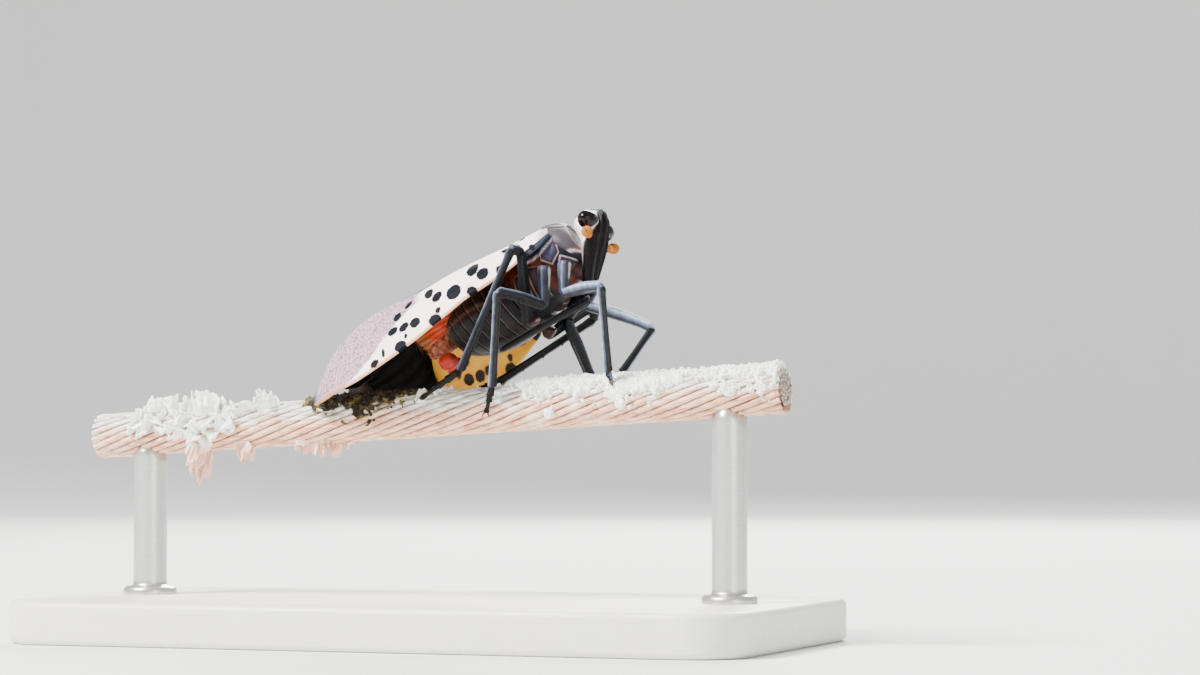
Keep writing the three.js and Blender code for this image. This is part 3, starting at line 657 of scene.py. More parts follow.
# Trunk: hard blue-grey plates with thin cream edges over rusty skin, each plate a shield of its own.
# Rings run along the body, the plates stand a little proud, and a tint at each point holds the colours.
# A station holds the place along the body, top, bottom, half width, widest level and forward lean.
BODY_PITCH = math.radians(24.8)
BODY_ROLL = math.radians(18.8)
BODY_AT = np.array([9.95, 0.4, 24.37])
LEAN_LEVEL = 4.7
PRONOTUM = [
    [1.66, 4.3, 1.6, 1.45, 2.7, 0.24], [1.52, 4.48, 1.4, 1.78, 2.6, 0.26], [1.2, 4.66, 1.25, 2.08, 2.6, 0.3],
    [0.7, 4.8, 1.15, 2.35, 2.5, 0.38], [0.1, 4.88, 1.18, 2.42, 2.5, 0.5], [-0.06, 4.84, 1.24, 2.38, 2.5, 0.5],
    [-0.1, 4.7, 1.4, 2.28, 2.5, 0.5],
]
THORAX = [
    [0.9, 3.9, 1.3, 1.3, 2.3, 0.36], [0.2, 4.0, 1.1, 2.05, 2.2, 0.46], [-0.3, 3.95, 0.95, 2.25, 2.1, 0.48],
    [-1.1, 3.75, 0.35, 2.4, 1.8, 0.36], [-2.2, 3.5, -0.5, 2.5, 1.4, 0.28], [-3.3, 3.0, -0.85, 2.4, 1.1, 0.22],
    [-4.3, 2.5, -0.9, 2.2, 0.8, 0.22],
]
SIDE_PLATES = [
    [(0.22, 3.21), (1.22, 2.76), (1.14, 1.65), (0.39, 1.06), (-0.2, 1.53)],
    [(1.09, 1.5), (1.8, 1.2), (1.7, 0.7), (1.23, 0.5), (0.78, 0.62), (0.82, 1.2)],
    [(-1.32, 1.45), (-0.5, 1.2), (-0.72, -0.5), (-1.6, -0.95)],
    [(-2.5, 1.2), (-1.55, 1.42), (-1.8, -0.85), (-2.75, -0.9)],
]
HINGE_BAR = [(1.25, 2.95), (0.94, 2.41), (0.13, 1.9), (-1.3, 1.6), (-1.25, 1.98), (0.11, 2.42), (0.93, 3.0)]
SCUTELLUM_LENGTH, SCUTELLUM_HALF = 2.9, 1.35
SLATE = shade(50, 54, 78)
SLATE_DARK = shade(18, 20, 30)
PURPLE = shade(46, 38, 52)
RUST = shade(88, 38, 28)
RUST_DARK = shade(34, 15, 13)
CREAM = shade(222, 198, 188)
HORN = shade(11, 11, 14)
HORN_BROWN = shade(28, 20, 18)
pitch_turn = np.array([
    [math.cos(BODY_PITCH), 0, -math.sin(BODY_PITCH)], [0, 1, 0],
    [math.sin(BODY_PITCH), 0, math.cos(BODY_PITCH)],
])
roll_turn = np.array([
    [1, 0, 0], [0, math.cos(BODY_ROLL), math.sin(BODY_ROLL)], [0, -math.sin(BODY_ROLL), math.cos(BODY_ROLL)],
])
body_turn = pitch_turn @ roll_turn


def to_world(points):
    """Body frame points in the frame of the stand."""
    return np.asarray(points, float) @ body_turn.T + BODY_AT



def through(values, count):
    """Rows of values made many by a smooth curve through them."""
    values = np.asarray(values, float)
    padded = np.vstack([2 * values[0] - values[1], values, 2 * values[-1] - values[-2]])
    place = np.linspace(0, len(values) - 1, count)
    index = np.minimum(place.astype(int), len(values) - 2)
    share = (place - index)[:, None]
    before, here, after, beyond = (padded[index + step] for step in range(4))
    slope, slope_after = 0.5 * (after - before), 0.5 * (beyond - here)
    return (
        here + slope * share + (3 * (after - here) - 2 * slope - slope_after) * share ** 2
        + (2 * (here - after) + slope + slope_after) * share ** 3
    )


def trunk_rings(stations, count, sides):
    """Leaning oval rings through smoothed stations, and the three places of each point."""
    x, top, bottom, half, level, lean = through(stations, count).T[..., None]
    angle = full_turn(sides)[None]
    rise = np.sin(angle)
    z = level + rise * np.where(rise > 0, top - level, level - bottom)
    rings = np.stack([x + lean * (LEAN_LEVEL - z), half * np.cos(angle), z + 0 * x], -1)
    return rings, *np.moveaxis(rings, -1, 0)


def step_up(value, start, end):
    """A smooth step from 0 at start to 1 at end."""
    share = np.clip((value - start) / (end - start), 0, 1)
    return share * share * (3 - 2 * share)


def line_at(value, place, width):
    """A soft line where a value passes a place."""
    return np.exp(-((value - place) / width) ** 2)


def inside_by(x, z, corners):
    """How far points lie inside an outline of corners, negative outside it."""
    corners = np.asarray(corners, float)
    nearest = np.full(x.shape, 1e9)
    within = np.zeros(x.shape, bool)
    for (ax, az), (bx, bz) in zip(corners, np.roll(corners, -1, 0)):
        along_x, along_z = bx - ax, bz - az
        share = np.clip(((x - ax) * along_x + (z - az) * along_z) / (along_x ** 2 + along_z ** 2), 0, 1)
        nearest = np.minimum(nearest, np.hypot(x - ax - share * along_x, z - az - share * along_z))
        slope_x = along_x / (along_z if along_z else 1e-9)
        within ^= ((az > z) != (bz > z)) & (x < ax + (z - az) * slope_x)
    return np.where(within, nearest, -nearest)


def outward_push(rings, height):
    """Moves each point of a tube of rings along its own outward direction by a height."""
    around = np.roll(rings, -1, 1) - np.roll(rings, 1, 1)
    normal = np.cross(around, np.gradient(rings, axis=0))
    normal /= np.maximum(np.linalg.norm(normal, axis=-1, keepdims=True), 1e-9)
    outward = rings - rings.mean(1, keepdims=True)
    normal *= np.sign((normal * outward).sum(-1).mean())
    return rings + normal * height[..., None]


def plain(colour, like):
    """One colour as the tint of each point."""
    return np.broadcast_to(np.array(colour[:3]), like.shape).copy()


def mixed(tint, colour, share):
    """A tint blended into a colour by a share at each point."""
    return tint + (np.array(colour[:3]) - tint) * share[..., None]


def tinted(rings, tint, caps):
    """A tube through rings with the tint of its points and of the two that close it."""
    return *lofted(rings), np.vstack([tint.reshape(-1, 3), [cap[:3] for cap in caps]])


def tinted_piece(name, shapes, replaced, finish, placed=to_world):
    """Finishes a piece from tinted shapes, and returns its mesh."""
    points, faces, tint = joined(shapes)
    mesh = make_mesh(name, placed(points), faces, {"tint": tint})
    finish_piece(name, mesh, replaced, finish)
    return mesh


def tinted_finish(name, roughness, grain_size, grain_depth, vary=0.3, sockets=()):
    """A finish that takes its colour from the tint at each point, with fine mottling, grain and bump."""
    finish = Finish(name, roughness, {"Specular IOR Level": 0.12, **dict(sockets)})
    grain = finish.mottle(finish.place, 1 / (grain_size * METRES), 4.0, 0.6)
    cloud = finish.mottle(finish.place, 0.18 / (grain_size * METRES), 3.0, 0.5)
    darker, paler = (
        finish.node("ShaderNodeHueSaturation", {
            "Color": finish.kept("tint", "Color"), "Value": value, "Saturation": fullness,
        }).outputs[0]
        for value, fullness in ((1 - vary, 1.1), (1 + vary, 0.92))
    )
    colour = finish.blend(finish.fade(cloud, 0.3, 0.7), darker, paler)
    colour = finish.blend(finish.times(finish.fade(grain, 0.35, 0.7), 0.35), colour, paler)
    rough = finish.sum_of(finish.times(grain, 0.5), roughness - 0.25)
    finish.tree.links.new(rough, finish.shader.inputs["Roughness"])
    finish.coat(colour, grain, grain_depth, 0.6)
    return finish


plate_coat = tinted_finish("powdery_plate", 0.48, 0.09, 0.03, 0.25)
rings, x, y, z = trunk_rings(THORAX, 150, 200)
on_side = step_up(np.abs(y), 0.6, 1.1)
folds = 0.5 + 0.5 * np.sin(6.5 * x + 1.5 * z)
tint = mixed(plain(RUST, rings), RUST_DARK, folds * 0.8)
tint = mixed(tint, HORN, step_up(z, 0.4, -0.5))
tint = mixed(tint, SLATE_DARK, step_up(z, 0.75, 1.15) * step_up(x, 0.1, 0.5))
lift = 0.05 * folds
for number, corners in enumerate(SIDE_PLATES):
    upper = number < 2
    depth = inside_by(x, z, corners)
    inside = step_up(depth, -0.02, 0.14) * on_side
    tint = mixed(tint, PURPLE if upper else RUST_DARK, inside)
    tint = mixed(tint, SLATE, inside * step_up(depth, 0.1, 0.4) * (0.6 if upper else 0.15))
    tint = mixed(tint, CREAM, on_side * line_at(depth, 0.03, 0.03) * (0.6 if upper else 0.3))
    lift += inside * (0.14 + 0.06 * step_up(depth, 0, 0.3)) - 0.05 * folds * inside
depth = inside_by(x, z, HINGE_BAR)
inside = step_up(depth, -0.03, 0.1) * on_side
tint = mixed(tint, SLATE, inside)
tint = mixed(tint, SLATE_DARK, inside * step_up(depth, 0.06, 0.16) * 0.75)
tint = mixed(tint, CREAM, on_side * line_at(depth, 0.02, 0.03) * 0.6)
lift += 0.26 * step_up(depth, -0.1, 0.16) * on_side
thorax_shape = tinted(outward_push(rings, lift), tint, (RUST, RUST))

rings, x, y, z = trunk_rings(PRONOTUM, 90, 200)
row = np.linspace(0, 1, 90)[:, None] + 0 * x
edge = np.minimum(row * 2.2, (1 - row) * 1.6)
ridge = line_at(z, 3.72 + 0.12 * np.sin(3 * x), 0.05)
middle_line = line_at(y, 0, 0.09) * (z > 3)
tint = mixed(plain(shade(17, 23, 44), rings), PURPLE, step_up(z, 3.4, 2.1) * 0.3)
tint = mixed(tint, SLATE_DARK, step_up(ripple(x * 2.2, z * 2.2 + y, 19, 14), 0.0, 1.4) * 0.6)
tint = mixed(tint, SLATE_DARK, step_up(z, 3.2, 3.8) * 0.9)
tint = mixed(tint, HORN, ridge * 0.8)
tint = mixed(tint, SLATE, middle_line * 0.7)
tint = mixed(tint, CREAM, line_at(edge, 0.1, 0.05) * (0.85 - 0.6 * step_up(z, 3.4, 4.0)))
tint = mixed(tint, CREAM, line_at(step_up(z, 1.75, 1.3), 0.4, 0.25) * 0.85)
lift = 0.06 * middle_line - 0.05 * ridge - 0.12 * step_up(edge, 0.1, 0.0)
lift += 0.04 * np.sin(9 * y) * step_up(z, 3.8, 4.2) * step_up(edge, 0.1, 0.5)
shield_shape = tinted(outward_push(rings, lift), tint, (RUST_DARK, RUST_DARK))

u, v = grid_of(np.linspace(0, 1, 40), full_turn(48))
half = SCUTELLUM_HALF * (1 - u) ** 0.8 + 0.06
rings = np.stack([
    0.1 - SCUTELLUM_LENGTH * u, half * np.cos(v), 4.42 + 0.05 * u + (0.3 - 0.12 * u) * np.sin(v)], -1)
keel = line_at(np.abs(rings[..., 1]), 0.45 * half, 0.06)
tint = mixed(plain(SLATE_DARK, rings), CREAM, line_at(np.abs(np.cos(v)), 0.95, 0.08) * 0.8)
tint = mixed(tint, SLATE, keel * 0.7)
scute_shape = tinted(outward_push(rings, 0.05 * keel), tint, (SLATE_DARK, SLATE_DARK))
trunk_shapes = [thorax_shape, shield_shape, scute_shape]
tinted_piece("thorax_skin", trunk_shapes, ("pronotum", "thorax", "scutellum"), plate_coat)

# Abdomen: dark brown-grey rings that tuck into each other like a telescope, each with a pale rear edge.
# The skin between them is finely wrinkled, and a dusting of pale wax lies over the last rings.
ABDOMEN = [
    [-3.7, 2.2, -0.9, 2.1, 0.5, 0.22], [-4.15, 2.3, -1.1, 2.4, 0.5, 0.22], [-5.3, 2.4, -1.4, 2.9, 0.4, 0.22],
    [-6.8, 2.35, -1.5, 3.0, 0.3, 0.22], [-8.3, 2.0, -1.3, 2.6, 0.25, 0.22],
    [-9.3, 1.45, -0.95, 1.95, 0.15, 0.22], [-9.75, 0.9, -0.55, 1.3, 0.15, 0.22],
]
RING_FIRST, RING_LENGTH = -4.9, 0.8
rings, x, y, z = trunk_rings(ABDOMEN, 230, 200)
belly_lean = x - 0.22 * (LEAN_LEVEL - z) + 0.03 * ripple(y * 1.5, z * 1.5, 21, 8)
ring_share = np.mod((RING_FIRST - belly_lean) / RING_LENGTH, 1.0)
side_fold = line_at(z, 0.15, 0.16) * (np.abs(y) > 1)
wax = step_up(x, -8.0, -9.4) * step_up(ripple(x * 3, z * 3 + y, 24, 16), -0.9, 0.6)
wrinkle = 0.5 + 0.5 * np.sin(belly_lean * 34 + 2.2 * ripple(x, z, 22, 8))
tint = mixed(plain(HORN, rings), HORN_BROWN, step_up(ripple(x * 2, z * 2 + y, 23, 12), -0.8, 1.0) * 0.8)
# Painted shade: the front of each ring, tucked under the rear edge of the ring before, is darkened to near
# black.
tint = mixed(tint, shade(4, 3, 3), step_up(ring_share, 0.16, 0.0) * 0.85)
tint = mixed(tint, shade(96, 78, 70), line_at(ring_share, 0.94, 0.05) * 0.4)
tint = mixed(tint, shade(128, 92, 78), wax * 0.6)
tint = mixed(tint, shade(90, 48, 34), side_fold * 0.3)
ring_tuck = step_up(ring_share, 0.0, 0.14) * step_up(ring_share, 1.0, 0.975)
lift = 0.11 * ring_tuck - 0.09 * side_fold + 0.012 * wrinkle
belly_coat = tinted_finish("belly_horn", 0.46, 0.11, 0.025)
belly_shape = tinted(outward_push(rings, lift), tint, (HORN, HORN))
tinted_piece("abdomen_skin", [belly_shape], ("abdomen",), belly_coat)

# Tail: the wrinkled tan tube that ends the abdomen, and two bright red moist valves under it.
# The tube is soft skin in folds, and each valve is a smooth pad with one crease.
TUBE_SIZE = [(0, 1.0), (0.25, 1.06), (0.5, 0.98), (0.8, 0.86), (0.95, 0.6), (1, 0.4)]
flesh_coat = tinted_finish("wrinkled_flesh", 0.5, 0.08, 0.03)
u, v = grid_of(np.linspace(0, 1, 60), full_turn(72))
fold = ripple(u * 10, 3 * np.sin(v) + 1.5 * np.cos(v), 25, 16)
size = np.interp(u, *np.array(TUBE_SIZE).T) * (
    1 + 0.06 * fold + 0.06 * ripple(u * 9, 2 * np.sin(v) + np.cos(v), 26, 14))
rings = np.stack([
    -9.2 - 1.8 * u + 0.12 * np.sin(v), 0.74 * size * np.cos(v), 0.5 - 0.25 * u + 0.6 * size * np.sin(v)], -1)
tube_tan, tube_crease_shade = shade(150, 82, 58), shade(88, 42, 28)
# Painted shade: the tube is darkened brown down in the creases between its folds.
tint = mixed(plain(tube_tan, rings), tube_crease_shade, step_up(fold, 0.9, -1.4))
cap = mixed(np.array([tube_tan[:3]]), tube_crease_shade, step_up(np.zeros(1), 0.9, -1.4))[0]
tinted_piece("anal_tube_skin", [tinted(rings, tint, (cap, cap))], ("anal_tube",), flesh_coat)

VALVE_RED, VALVE_DARK = (0.34, 0.009, 0.0), (0.2, 0.004, 0.0)
red_coat = tinted_finish("moist_red", 0.42, 0.14, 0.02, 0.12, {"Coat Weight": 0.15, "Coat Roughness": 0.2})
valve_shapes = []
u, v = grid_of(np.linspace(0.02, 0.98, 40), full_turn(48))
for side in (-1, 1):
    size = np.sqrt(np.clip(1 - (2 * u - 1) ** 2, 0, 1)) ** 0.8 * (1 + 0.05 * np.sin(3 * v + side))
    size *= 1 - 0.16 * line_at(np.mod(v - 0.3 * math.pi, math.tau), math.pi, 0.22)
    rings = np.stack([
        -9.0 - 1.35 * u, side * 0.5 + 0.58 * size * np.cos(v), -1.2 + 0.1 * u + 0.62 * size * np.sin(v)], -1)
    tint = mixed(plain(VALVE_RED, rings), VALVE_DARK, step_up(rings[..., 0], -9.5, -9.0))
    valve_shapes.append(tinted(rings, tint, (tint[0, 0], tint[-1, 0])))
tinted_piece("valves_skin", valve_shapes, ("valves",), red_coat)

# Head: cream cheeks, a blue-grey crown and a long black-brown face with raised ribs that ends at the beak.
# Rings stacked from the crown to the tip of the face, squarer than an oval, with the ribs pushed out.
# A head row holds its height, front, back and half width, and an edge row the height and the face's edge.
HEAD = [
    [4.5, 3.9, 2.7, 0.55], [4.36, 4.2, 2.3, 0.95], [4.0, 4.4, 2.05, 1.2], [3.5, 4.42, 2.05, 1.28],
    [2.9, 4.22, 2.2, 1.34], [2.1, 3.8, 2.3, 1.44], [1.2, 3.3, 2.1, 1.3], [0.2, 2.7, 1.7, 0.95],
    [-0.7, 2.2, 1.35, 0.58], [-1.1, 1.98, 1.4, 0.34], [-1.2, 1.86, 1.5, 0.16],
]
FACE_EDGE = [
    [-1.6, 1.1], [-1.03, 1.3], [-0.18, 1.7], [0.7, 2.05], [1.49, 2.47], [1.87, 2.85],
    [2.22, 3.26], [2.65, 3.68], [3.0, 3.92], [3.4, 4.08], [3.9, 4.15], [4.6, 4.2],
]
EYE_AT, EYE_RADIUS, EYE_BULGE = (3.52, 1.2, 3.42), 0.66, 0.9
level, front, back, half = through(HEAD, 190).T[..., None]
turn = full_turn(220)[None]
middle, reach = (front + back) / 2, (front - back) / 2
forward, sideways = (
    np.sign(wave(turn)) * np.abs(wave(turn)) ** power for wave, power in ((np.cos, 0.95), (np.sin, 1.12)))
rings = np.stack([middle + reach * forward, half * sideways, level + 0 * turn], -1)
x, y, z = np.moveaxis(rings, -1, 0)
face_inside = x - np.interp(z, *np.array(FACE_EDGE).T)
on_face = step_up(face_inside, -0.04, 0.05)
ribs_and_highlight = line_at(y, 0, 0.07) + 0.8 * line_at(np.abs(y), 0.45 * half, 0.07)
ribs_and_highlight = ribs_and_highlight * (x > middle) * on_face
rim_rib = line_at(face_inside, 0, 0.06)
cross_ribs = 0.5 + 0.5 * np.sin(z * 15 + 4 * np.abs(y))
face_blotch = step_up(ripple(x * 2 + y * 3, z * 1.2, 27, 14), -0.2, 1.2)
face_colour = mixed(plain(shade(6, 4, 5), rings), shade(34, 18, 15), 0.7 * face_blotch)
tint = mixed(plain(shade(240, 222, 216), rings), shade(236, 186, 172), step_up(z, 2.6, 1.6) * 0.6)
tint = mixed(tint, RUST, step_up(z, 1.75, 1.3) * step_up(z, 0.6, 1.1) * 0.8)
tint = mixed(tint, HORN, step_up(z, 1.2, 0.7))
tint = mixed(tint, (0, 0, 0), on_face) + face_colour * on_face[..., None]
# Painted highlight: the raised ribs of the face are tinted a paler grey.
tint = mixed(tint, shade(52, 50, 58), np.clip(ribs_and_highlight, 0, 1) * 0.6)
tint = mixed(tint, shade(170, 158, 160), rim_rib * 0.6 * step_up(z, 0.4, 1.6))
tint = mixed(tint, shade(70, 82, 96), step_up(z, 4.08, 4.26))
tint = mixed(tint, SLATE_DARK, line_at(z, 4.2, 0.06) * 0.6)
lift = 0.11 * ribs_and_highlight + 0.07 * rim_rib - 0.07 * on_face * (1 - np.clip(ribs_and_highlight, 0, 1))
lift = lift + 0.008 * cross_ribs * on_face - 0.06 * line_at(z, 4.2, 0.05)
head_shapes = [tinted(outward_push(rings, lift), tint, (SLATE, HORN))]
u, v = grid_of(full_turn(60), full_turn(14))
rim_radius = EYE_RADIUS + 0.06 * np.cos(v)
rim_slope = 0.46 * np.clip(np.cos(u), 0, 1) ** 2
rim_faces = grid_quads(60, 14, closed=True)
rim_faces += [[59 * 14 + c, 59 * 14 + (c + 1) % 14, (c + 1) % 14, c] for c in range(14)]
for side in (-1, 1):
    rim_points = np.stack([
        EYE_AT[0] + (rim_radius - 0.3 * rim_slope) * np.cos(u),
        side * (EYE_AT[1] - rim_slope + 0.06 * np.sin(v)), EYE_AT[2] + rim_radius * np.sin(u),
    ], -1).reshape(-1, 3)
    head_shapes.append((rim_points, rim_faces, plain(shade(196, 176, 172), rim_points)))
head_coat = tinted_finish("head_horn", 0.42, 0.08, 0.025, 0.22)
tinted_piece("head_skin", head_shapes, ("head",), head_coat)

# Eyes: glossy dark brown domes, finely faceted, set in a pale ring on each side of the head.
# Each is a ball flattened against the cheek, with six-sided facets too small to count.
eye_gloss = Finish("eye_gloss", 0.16, {"Specular IOR Level": 0.16, "Coat Weight": 0.06})
eye_cells = eye_gloss.node("ShaderNodeTexVoronoi", {"Vector": eye_gloss.place, "Scale": 26000.0})
eye_cloud = eye_gloss.fade(eye_gloss.mottle(eye_gloss.place, 1500, 2.0), 0.4, 0.75)
eye_colour = eye_gloss.blend(eye_cloud, shade(5, 3, 3), shade(26, 12, 10))
eye_gloss.coat(eye_colour, eye_cells.outputs["Distance"], 0.006, 0.25)
u, v = grid_of(np.radians(np.linspace(-35, 88, 40)), full_turn(72))
for name, side in (("left", 1), ("right", -1)):
    dome_points, dome_faces = lofted(np.stack([
        EYE_AT[0] + EYE_RADIUS * np.cos(u) * np.cos(v), side * (EYE_AT[1] + EYE_BULGE * np.sin(u)),
        EYE_AT[2] + EYE_RADIUS * np.cos(u) * np.sin(v),
    ], -1))
    dome = make_mesh("eye_dome_" + name, to_world(dome_points), dome_faces)
    finish_piece("eye_dome_" + name, dome, ("eye_" + name,), eye_gloss)

# Antennae: a pinkish stalk, a bright orange bulb covered in fine pits, and a bristle as thin as a hair.
# A profile row holds the distance from the cheek and the radius there.
ANTENNA_ROOT = np.array([3.35, 1.45, 2.2])
ANTENNA_OUT = {"left": [0.1, 1.0, 0.4], "right": [0.3, 1.0, -0.3]}
BULB_PROFILE = [
    [0.0, 0.26], [0.3, 0.22], [0.42, 0.2], [0.55, 0.24], [0.66, 0.34], [0.8, 0.38], [1.0, 0.385],
    [1.12, 0.35], [1.2, 0.25], [1.25, 0.12],
]
BRISTLE_PROFILE = [[1.2, 0.05], [1.7, 0.025], [2.3, 0.012]]
bulb_coat = tinted_finish("orange_bulb", 0.6, 0.05, 0.03, 0.1, {"Specular IOR Level": 0.05})
for name, side in (("left", 1), ("right", -1)):
    out = np.array(ANTENNA_OUT[name]) / np.linalg.norm(ANTENNA_OUT[name])
    across = np.cross(out, [0, 0, 1])
    across /= np.linalg.norm(across)
    upward = np.cross(across, out)
    feeler_shapes = []
    for profile, sides in ((through(BULB_PROFILE, 70), 56), (through(BRISTLE_PROFILE, 14), 8)):
        turn = full_turn(sides)
        place, radius = profile[:, :1], profile[:, 1:]
        pits = np.sin(turn[None] * 9 + 40 * place) * np.sin(38 * place) * (radius > 0.28)
        ring = radius * (1 + 0.035 * pits)
        points, faces = lofted((ANTENNA_ROOT + place * out)[:, None] + ring[..., None] * (
            np.cos(turn)[None, :, None] * across + np.sin(turn)[None, :, None] * upward))
        share = (points - ANTENNA_ROOT) @ out
        tint = mixed(plain(shade(200, 100, 50), points), (0.32, 0.105, 0.0), step_up(share, 0.35, 0.5))
        tint = mixed(tint, HORN, step_up(share, 1.26, 1.4))
        feeler_shapes.append((points * [1, side, 1], faces, tint))
    tinted_piece("feeler_" + name, feeler_shapes, ("antenna_" + name,), bulb_coat)

# Forewings: stiff leathery sheets that meet like a roof, cream with black spots and netted at the tip.
# Each is a thin shell between its two margins, arched outwards, with raised veins and a net of cross-veins.
# A spot row holds its places along and across the wing, half length, half width and turn in degrees.
WING_SHOULDER = -1 / 6
WING_BACK = [
    (0.6, 1.45, 4.2), (-0.05, 1.5, 4.3), (-2.6, 0.1, 4.86), (-6, 0.05, 4.92), (-9.6, 0.05, 5.0),
    (-13.4, 0.12, 5.2), (-16.9, 0.95, 3.6), (-19.6, 1.9, 0.55),
]
WING_BACK_SOLID = [
    (0.6, 1.45, 4.2), (-0.05, 1.6, 4.1), (-2.6, 0.48, 4.72), (-6, 0.48, 4.8), (-9.6, 0.48, 4.9),
    (-13.4, 0.55, 5.15), (-16.9, 1.15, 3.5), (-19.6, 1.95, 0.5),
]
WING_FRONT = [
    (1.05, 2.75, 2.75), (0.2, 3.35, 1.95), (-2, 3.75, 1.25), (-5.6, 4.95, -0.1), (-9.4, 5.8, -1.6),
    (-13.2, 5.9, -2.3), (-16.6, 4.75, -1.8), (-19.3, 2.8, -0.8),
]
WING_ARCH = [0.12, 0.3, 0.75, 1.1, 1.25, 1.3, 0.9, 0.1]
WING_VEINS = [(0.24, 0.1), (0.47, 0.34), (0.66, 0.58), (0.86, 0.82)]
WING_ROWS, WING_COLUMNS, WING_THICK = 280, 150, 0.09
SPOTS = [
    (2.35, 0.42, 0.62, 0.3, 128), (5.0, 0.8, 0.8, 0.41, 90), (4.3, 1.9, 0.55, 0.39, 93),
    (6.5, 2.3, 0.67, 0.49, 106), (5.2, 3.1, 0.42, 0.29, 115), (8.5, 0.6, 0.67, 0.31, 102),
    (7.8, 1.7, 0.47, 0.36, 92), (8.9, -3.6, 0.5, 0.13, 113), (3.0, 2.3, 0.4, 0.31, 103),
    (10.2, 0.4, 0.42, 0.23, 78), (11.0, 1.3, 0.37, 0.26, 78), (11.4, 2.6, 0.38, 0.35, 81),
    (10.5, 2.8, 0.37, 0.34, 84), (9.6, 3.0, 0.47, 0.34, 116), (8.1, 3.8, 0.5, 0.37, 125),
    (7.8, 3.1, 0.21, 0.17, 90), (0.4, 1.2, 0.29, 0.21, 105), (10.9, 4.3, 0.45, 0.38, 142),
    (13.1, 4.5, 0.32, 0.27, 166), (10.4, 3.7, 0.18, 0.1, 90), (12.3, 4.1, 0.29, 0.1, 90),
    (1.4, -0.9, 0.4, 0.26, 60), (3.4, -1.7, 0.5, 0.3, 100), (6.3, -2.1, 0.55, 0.32, 110),
    (4.9, -2.7, 0.3, 0.2, 90), (9.9, -3.0, 0.42, 0.26, 100),
]
NET_START = [
    (0.0, 0.40), (0.3, 0.42), (0.44, 0.48), (0.6, 0.47), (0.68, 0.535), (0.8, 0.59), (0.9, 0.645),
    (0.945, 0.7), (1.0, 0.78),
]
CELL_WIDTH, CELL_LENGTH = 0.34, 0.3
# The share along each forewing where its inner face starts to be painted near black, as painted shade.
PAINTED_SHADE_START = 0.66


def wing_surface(u, v, back):
    """Points of a left wing at shares along it and across it, from its back margin to its front one."""
    def curve(points):
        fine = through(points, 800)
        places = np.linspace(WING_SHOULDER, 1, 800)
        return np.stack([np.interp(u, places, column) for column in fine.T], -1)
    a, b = curve(back), curve(WING_FRONT)
    outward = np.stack([0 * u, a[..., 2] - b[..., 2], b[..., 1] - a[..., 1]], -1)
    outward /= np.linalg.norm(outward, axis=-1, keepdims=True)
    height = curve(np.array(WING_ARCH)[:, None])[..., 0] * 4 * v * (1 - v)
    return a + (b - a) * v[..., None] + outward * height[..., None]


def sheet_between(points, upper, lower):
    """The outer and inner grids of a left wing's sheet, at heights above its middle grid."""
    normal = np.cross(np.gradient(points, axis=1), np.gradient(points, axis=0))
    normal /= np.maximum(np.linalg.norm(normal, axis=-1, keepdims=True), 1e-9)
    return points + normal * upper[..., None], points + normal * lower[..., None]


u, v = grid_of(np.linspace(WING_SHOULDER, 1, WING_ROWS), np.linspace(0, 1, WING_COLUMNS))
solid_grid = wing_surface(u, v, WING_BACK_SOLID)
middle_steps = np.linalg.norm(np.diff(solid_grid[:, WING_COLUMNS // 2], axis=0), axis=1)
along = np.concatenate([[0], np.cumsum(middle_steps)])[:, None] + 0 * u
along -= np.interp(0, u[:, 0], along[:, 0])
wing_width = np.linalg.norm(np.diff(solid_grid, axis=1), axis=2).sum(1)[:, None]
across = (v - 0.5) * wing_width
from_back = v * wing_width
from_front = (1 - v) * wing_width

spot_depth = np.full(u.shape, -9.0)
for spot_along, spot_across, half_long, half_wide, degrees in SPOTS:
    turn = math.radians(degrees)
    off_along, off_across = along - spot_along, across - spot_across
    long_way = (off_along * math.cos(turn) + off_across * math.sin(turn)) / half_long
    wide_way = (-off_along * math.sin(turn) + off_across * math.cos(turn)) / half_wide
    spot_depth = np.maximum(spot_depth, (1.06 - np.hypot(long_way, wide_way)) * half_wide)

vein_line = np.zeros(u.shape)
for start, end in WING_VEINS:
    for fork in (-1, 1):
        line = start + (end - start) * u + fork * 0.055 * step_up(u, 0.42, 0.95)
        vein_line = np.maximum(vein_line, line_at((v - line) * wing_width, 0, 0.07))
net_share = step_up(u - np.interp(v, *np.array(NET_START).T), -0.03, 0.05)
cell_row = across / CELL_WIDTH + 50
cell_place = along / CELL_LENGTH + 0.37 * np.floor(cell_row) + 0.25 * ripple(along, across, 31, 6)
net_line = np.maximum(*(
    step_up(np.abs(np.mod(place, 1) - 0.5), start, 0.5)
    for place, start in ((cell_row, 0.34), (cell_place, 0.36))
))
vein_lift = 0.055 * vein_line * step_up(u, 1.0, 0.9) + 0.03 * net_line * net_share

wing = Finish("spotted_forewing", 0.6, {"Specular IOR Level": 0.08})
wing_at = {
    key: wing.kept(key)
    for key in ("spot", "net", "vein", "across", "along", "hinge", "root", "back", "front")
}
wing_flat = wing.vector(wing_at["along"], wing_at["across"])
wing_cloud = wing.mottle(wing_flat, 0.8)
wing_grain = wing.mottle(wing_flat, 14.0, 4.0, 0.65)
cream = wing.blend(wing_cloud, shade(248, 224, 216), shade(254, 244, 238))
cream = wing.blend(wing.times(wing_at["vein"], 0.3), cream, shade(246, 232, 214))
cream = wing.blend(wing.times(wing.fade(wing_at["across"], 2.6, 5.0), 0.35), cream, shade(238, 205, 186))
net_cells = wing.node("ShaderNodeTexVoronoi", {
    "Vector": wing.stretched(wing_flat, (3.6, 6.0, 1)), "Scale": 1.0, "Randomness": 0.75,
}, feature="DISTANCE_TO_EDGE").outputs["Distance"]
net_dark = wing.fade(net_cells, 0.16, 0.03)
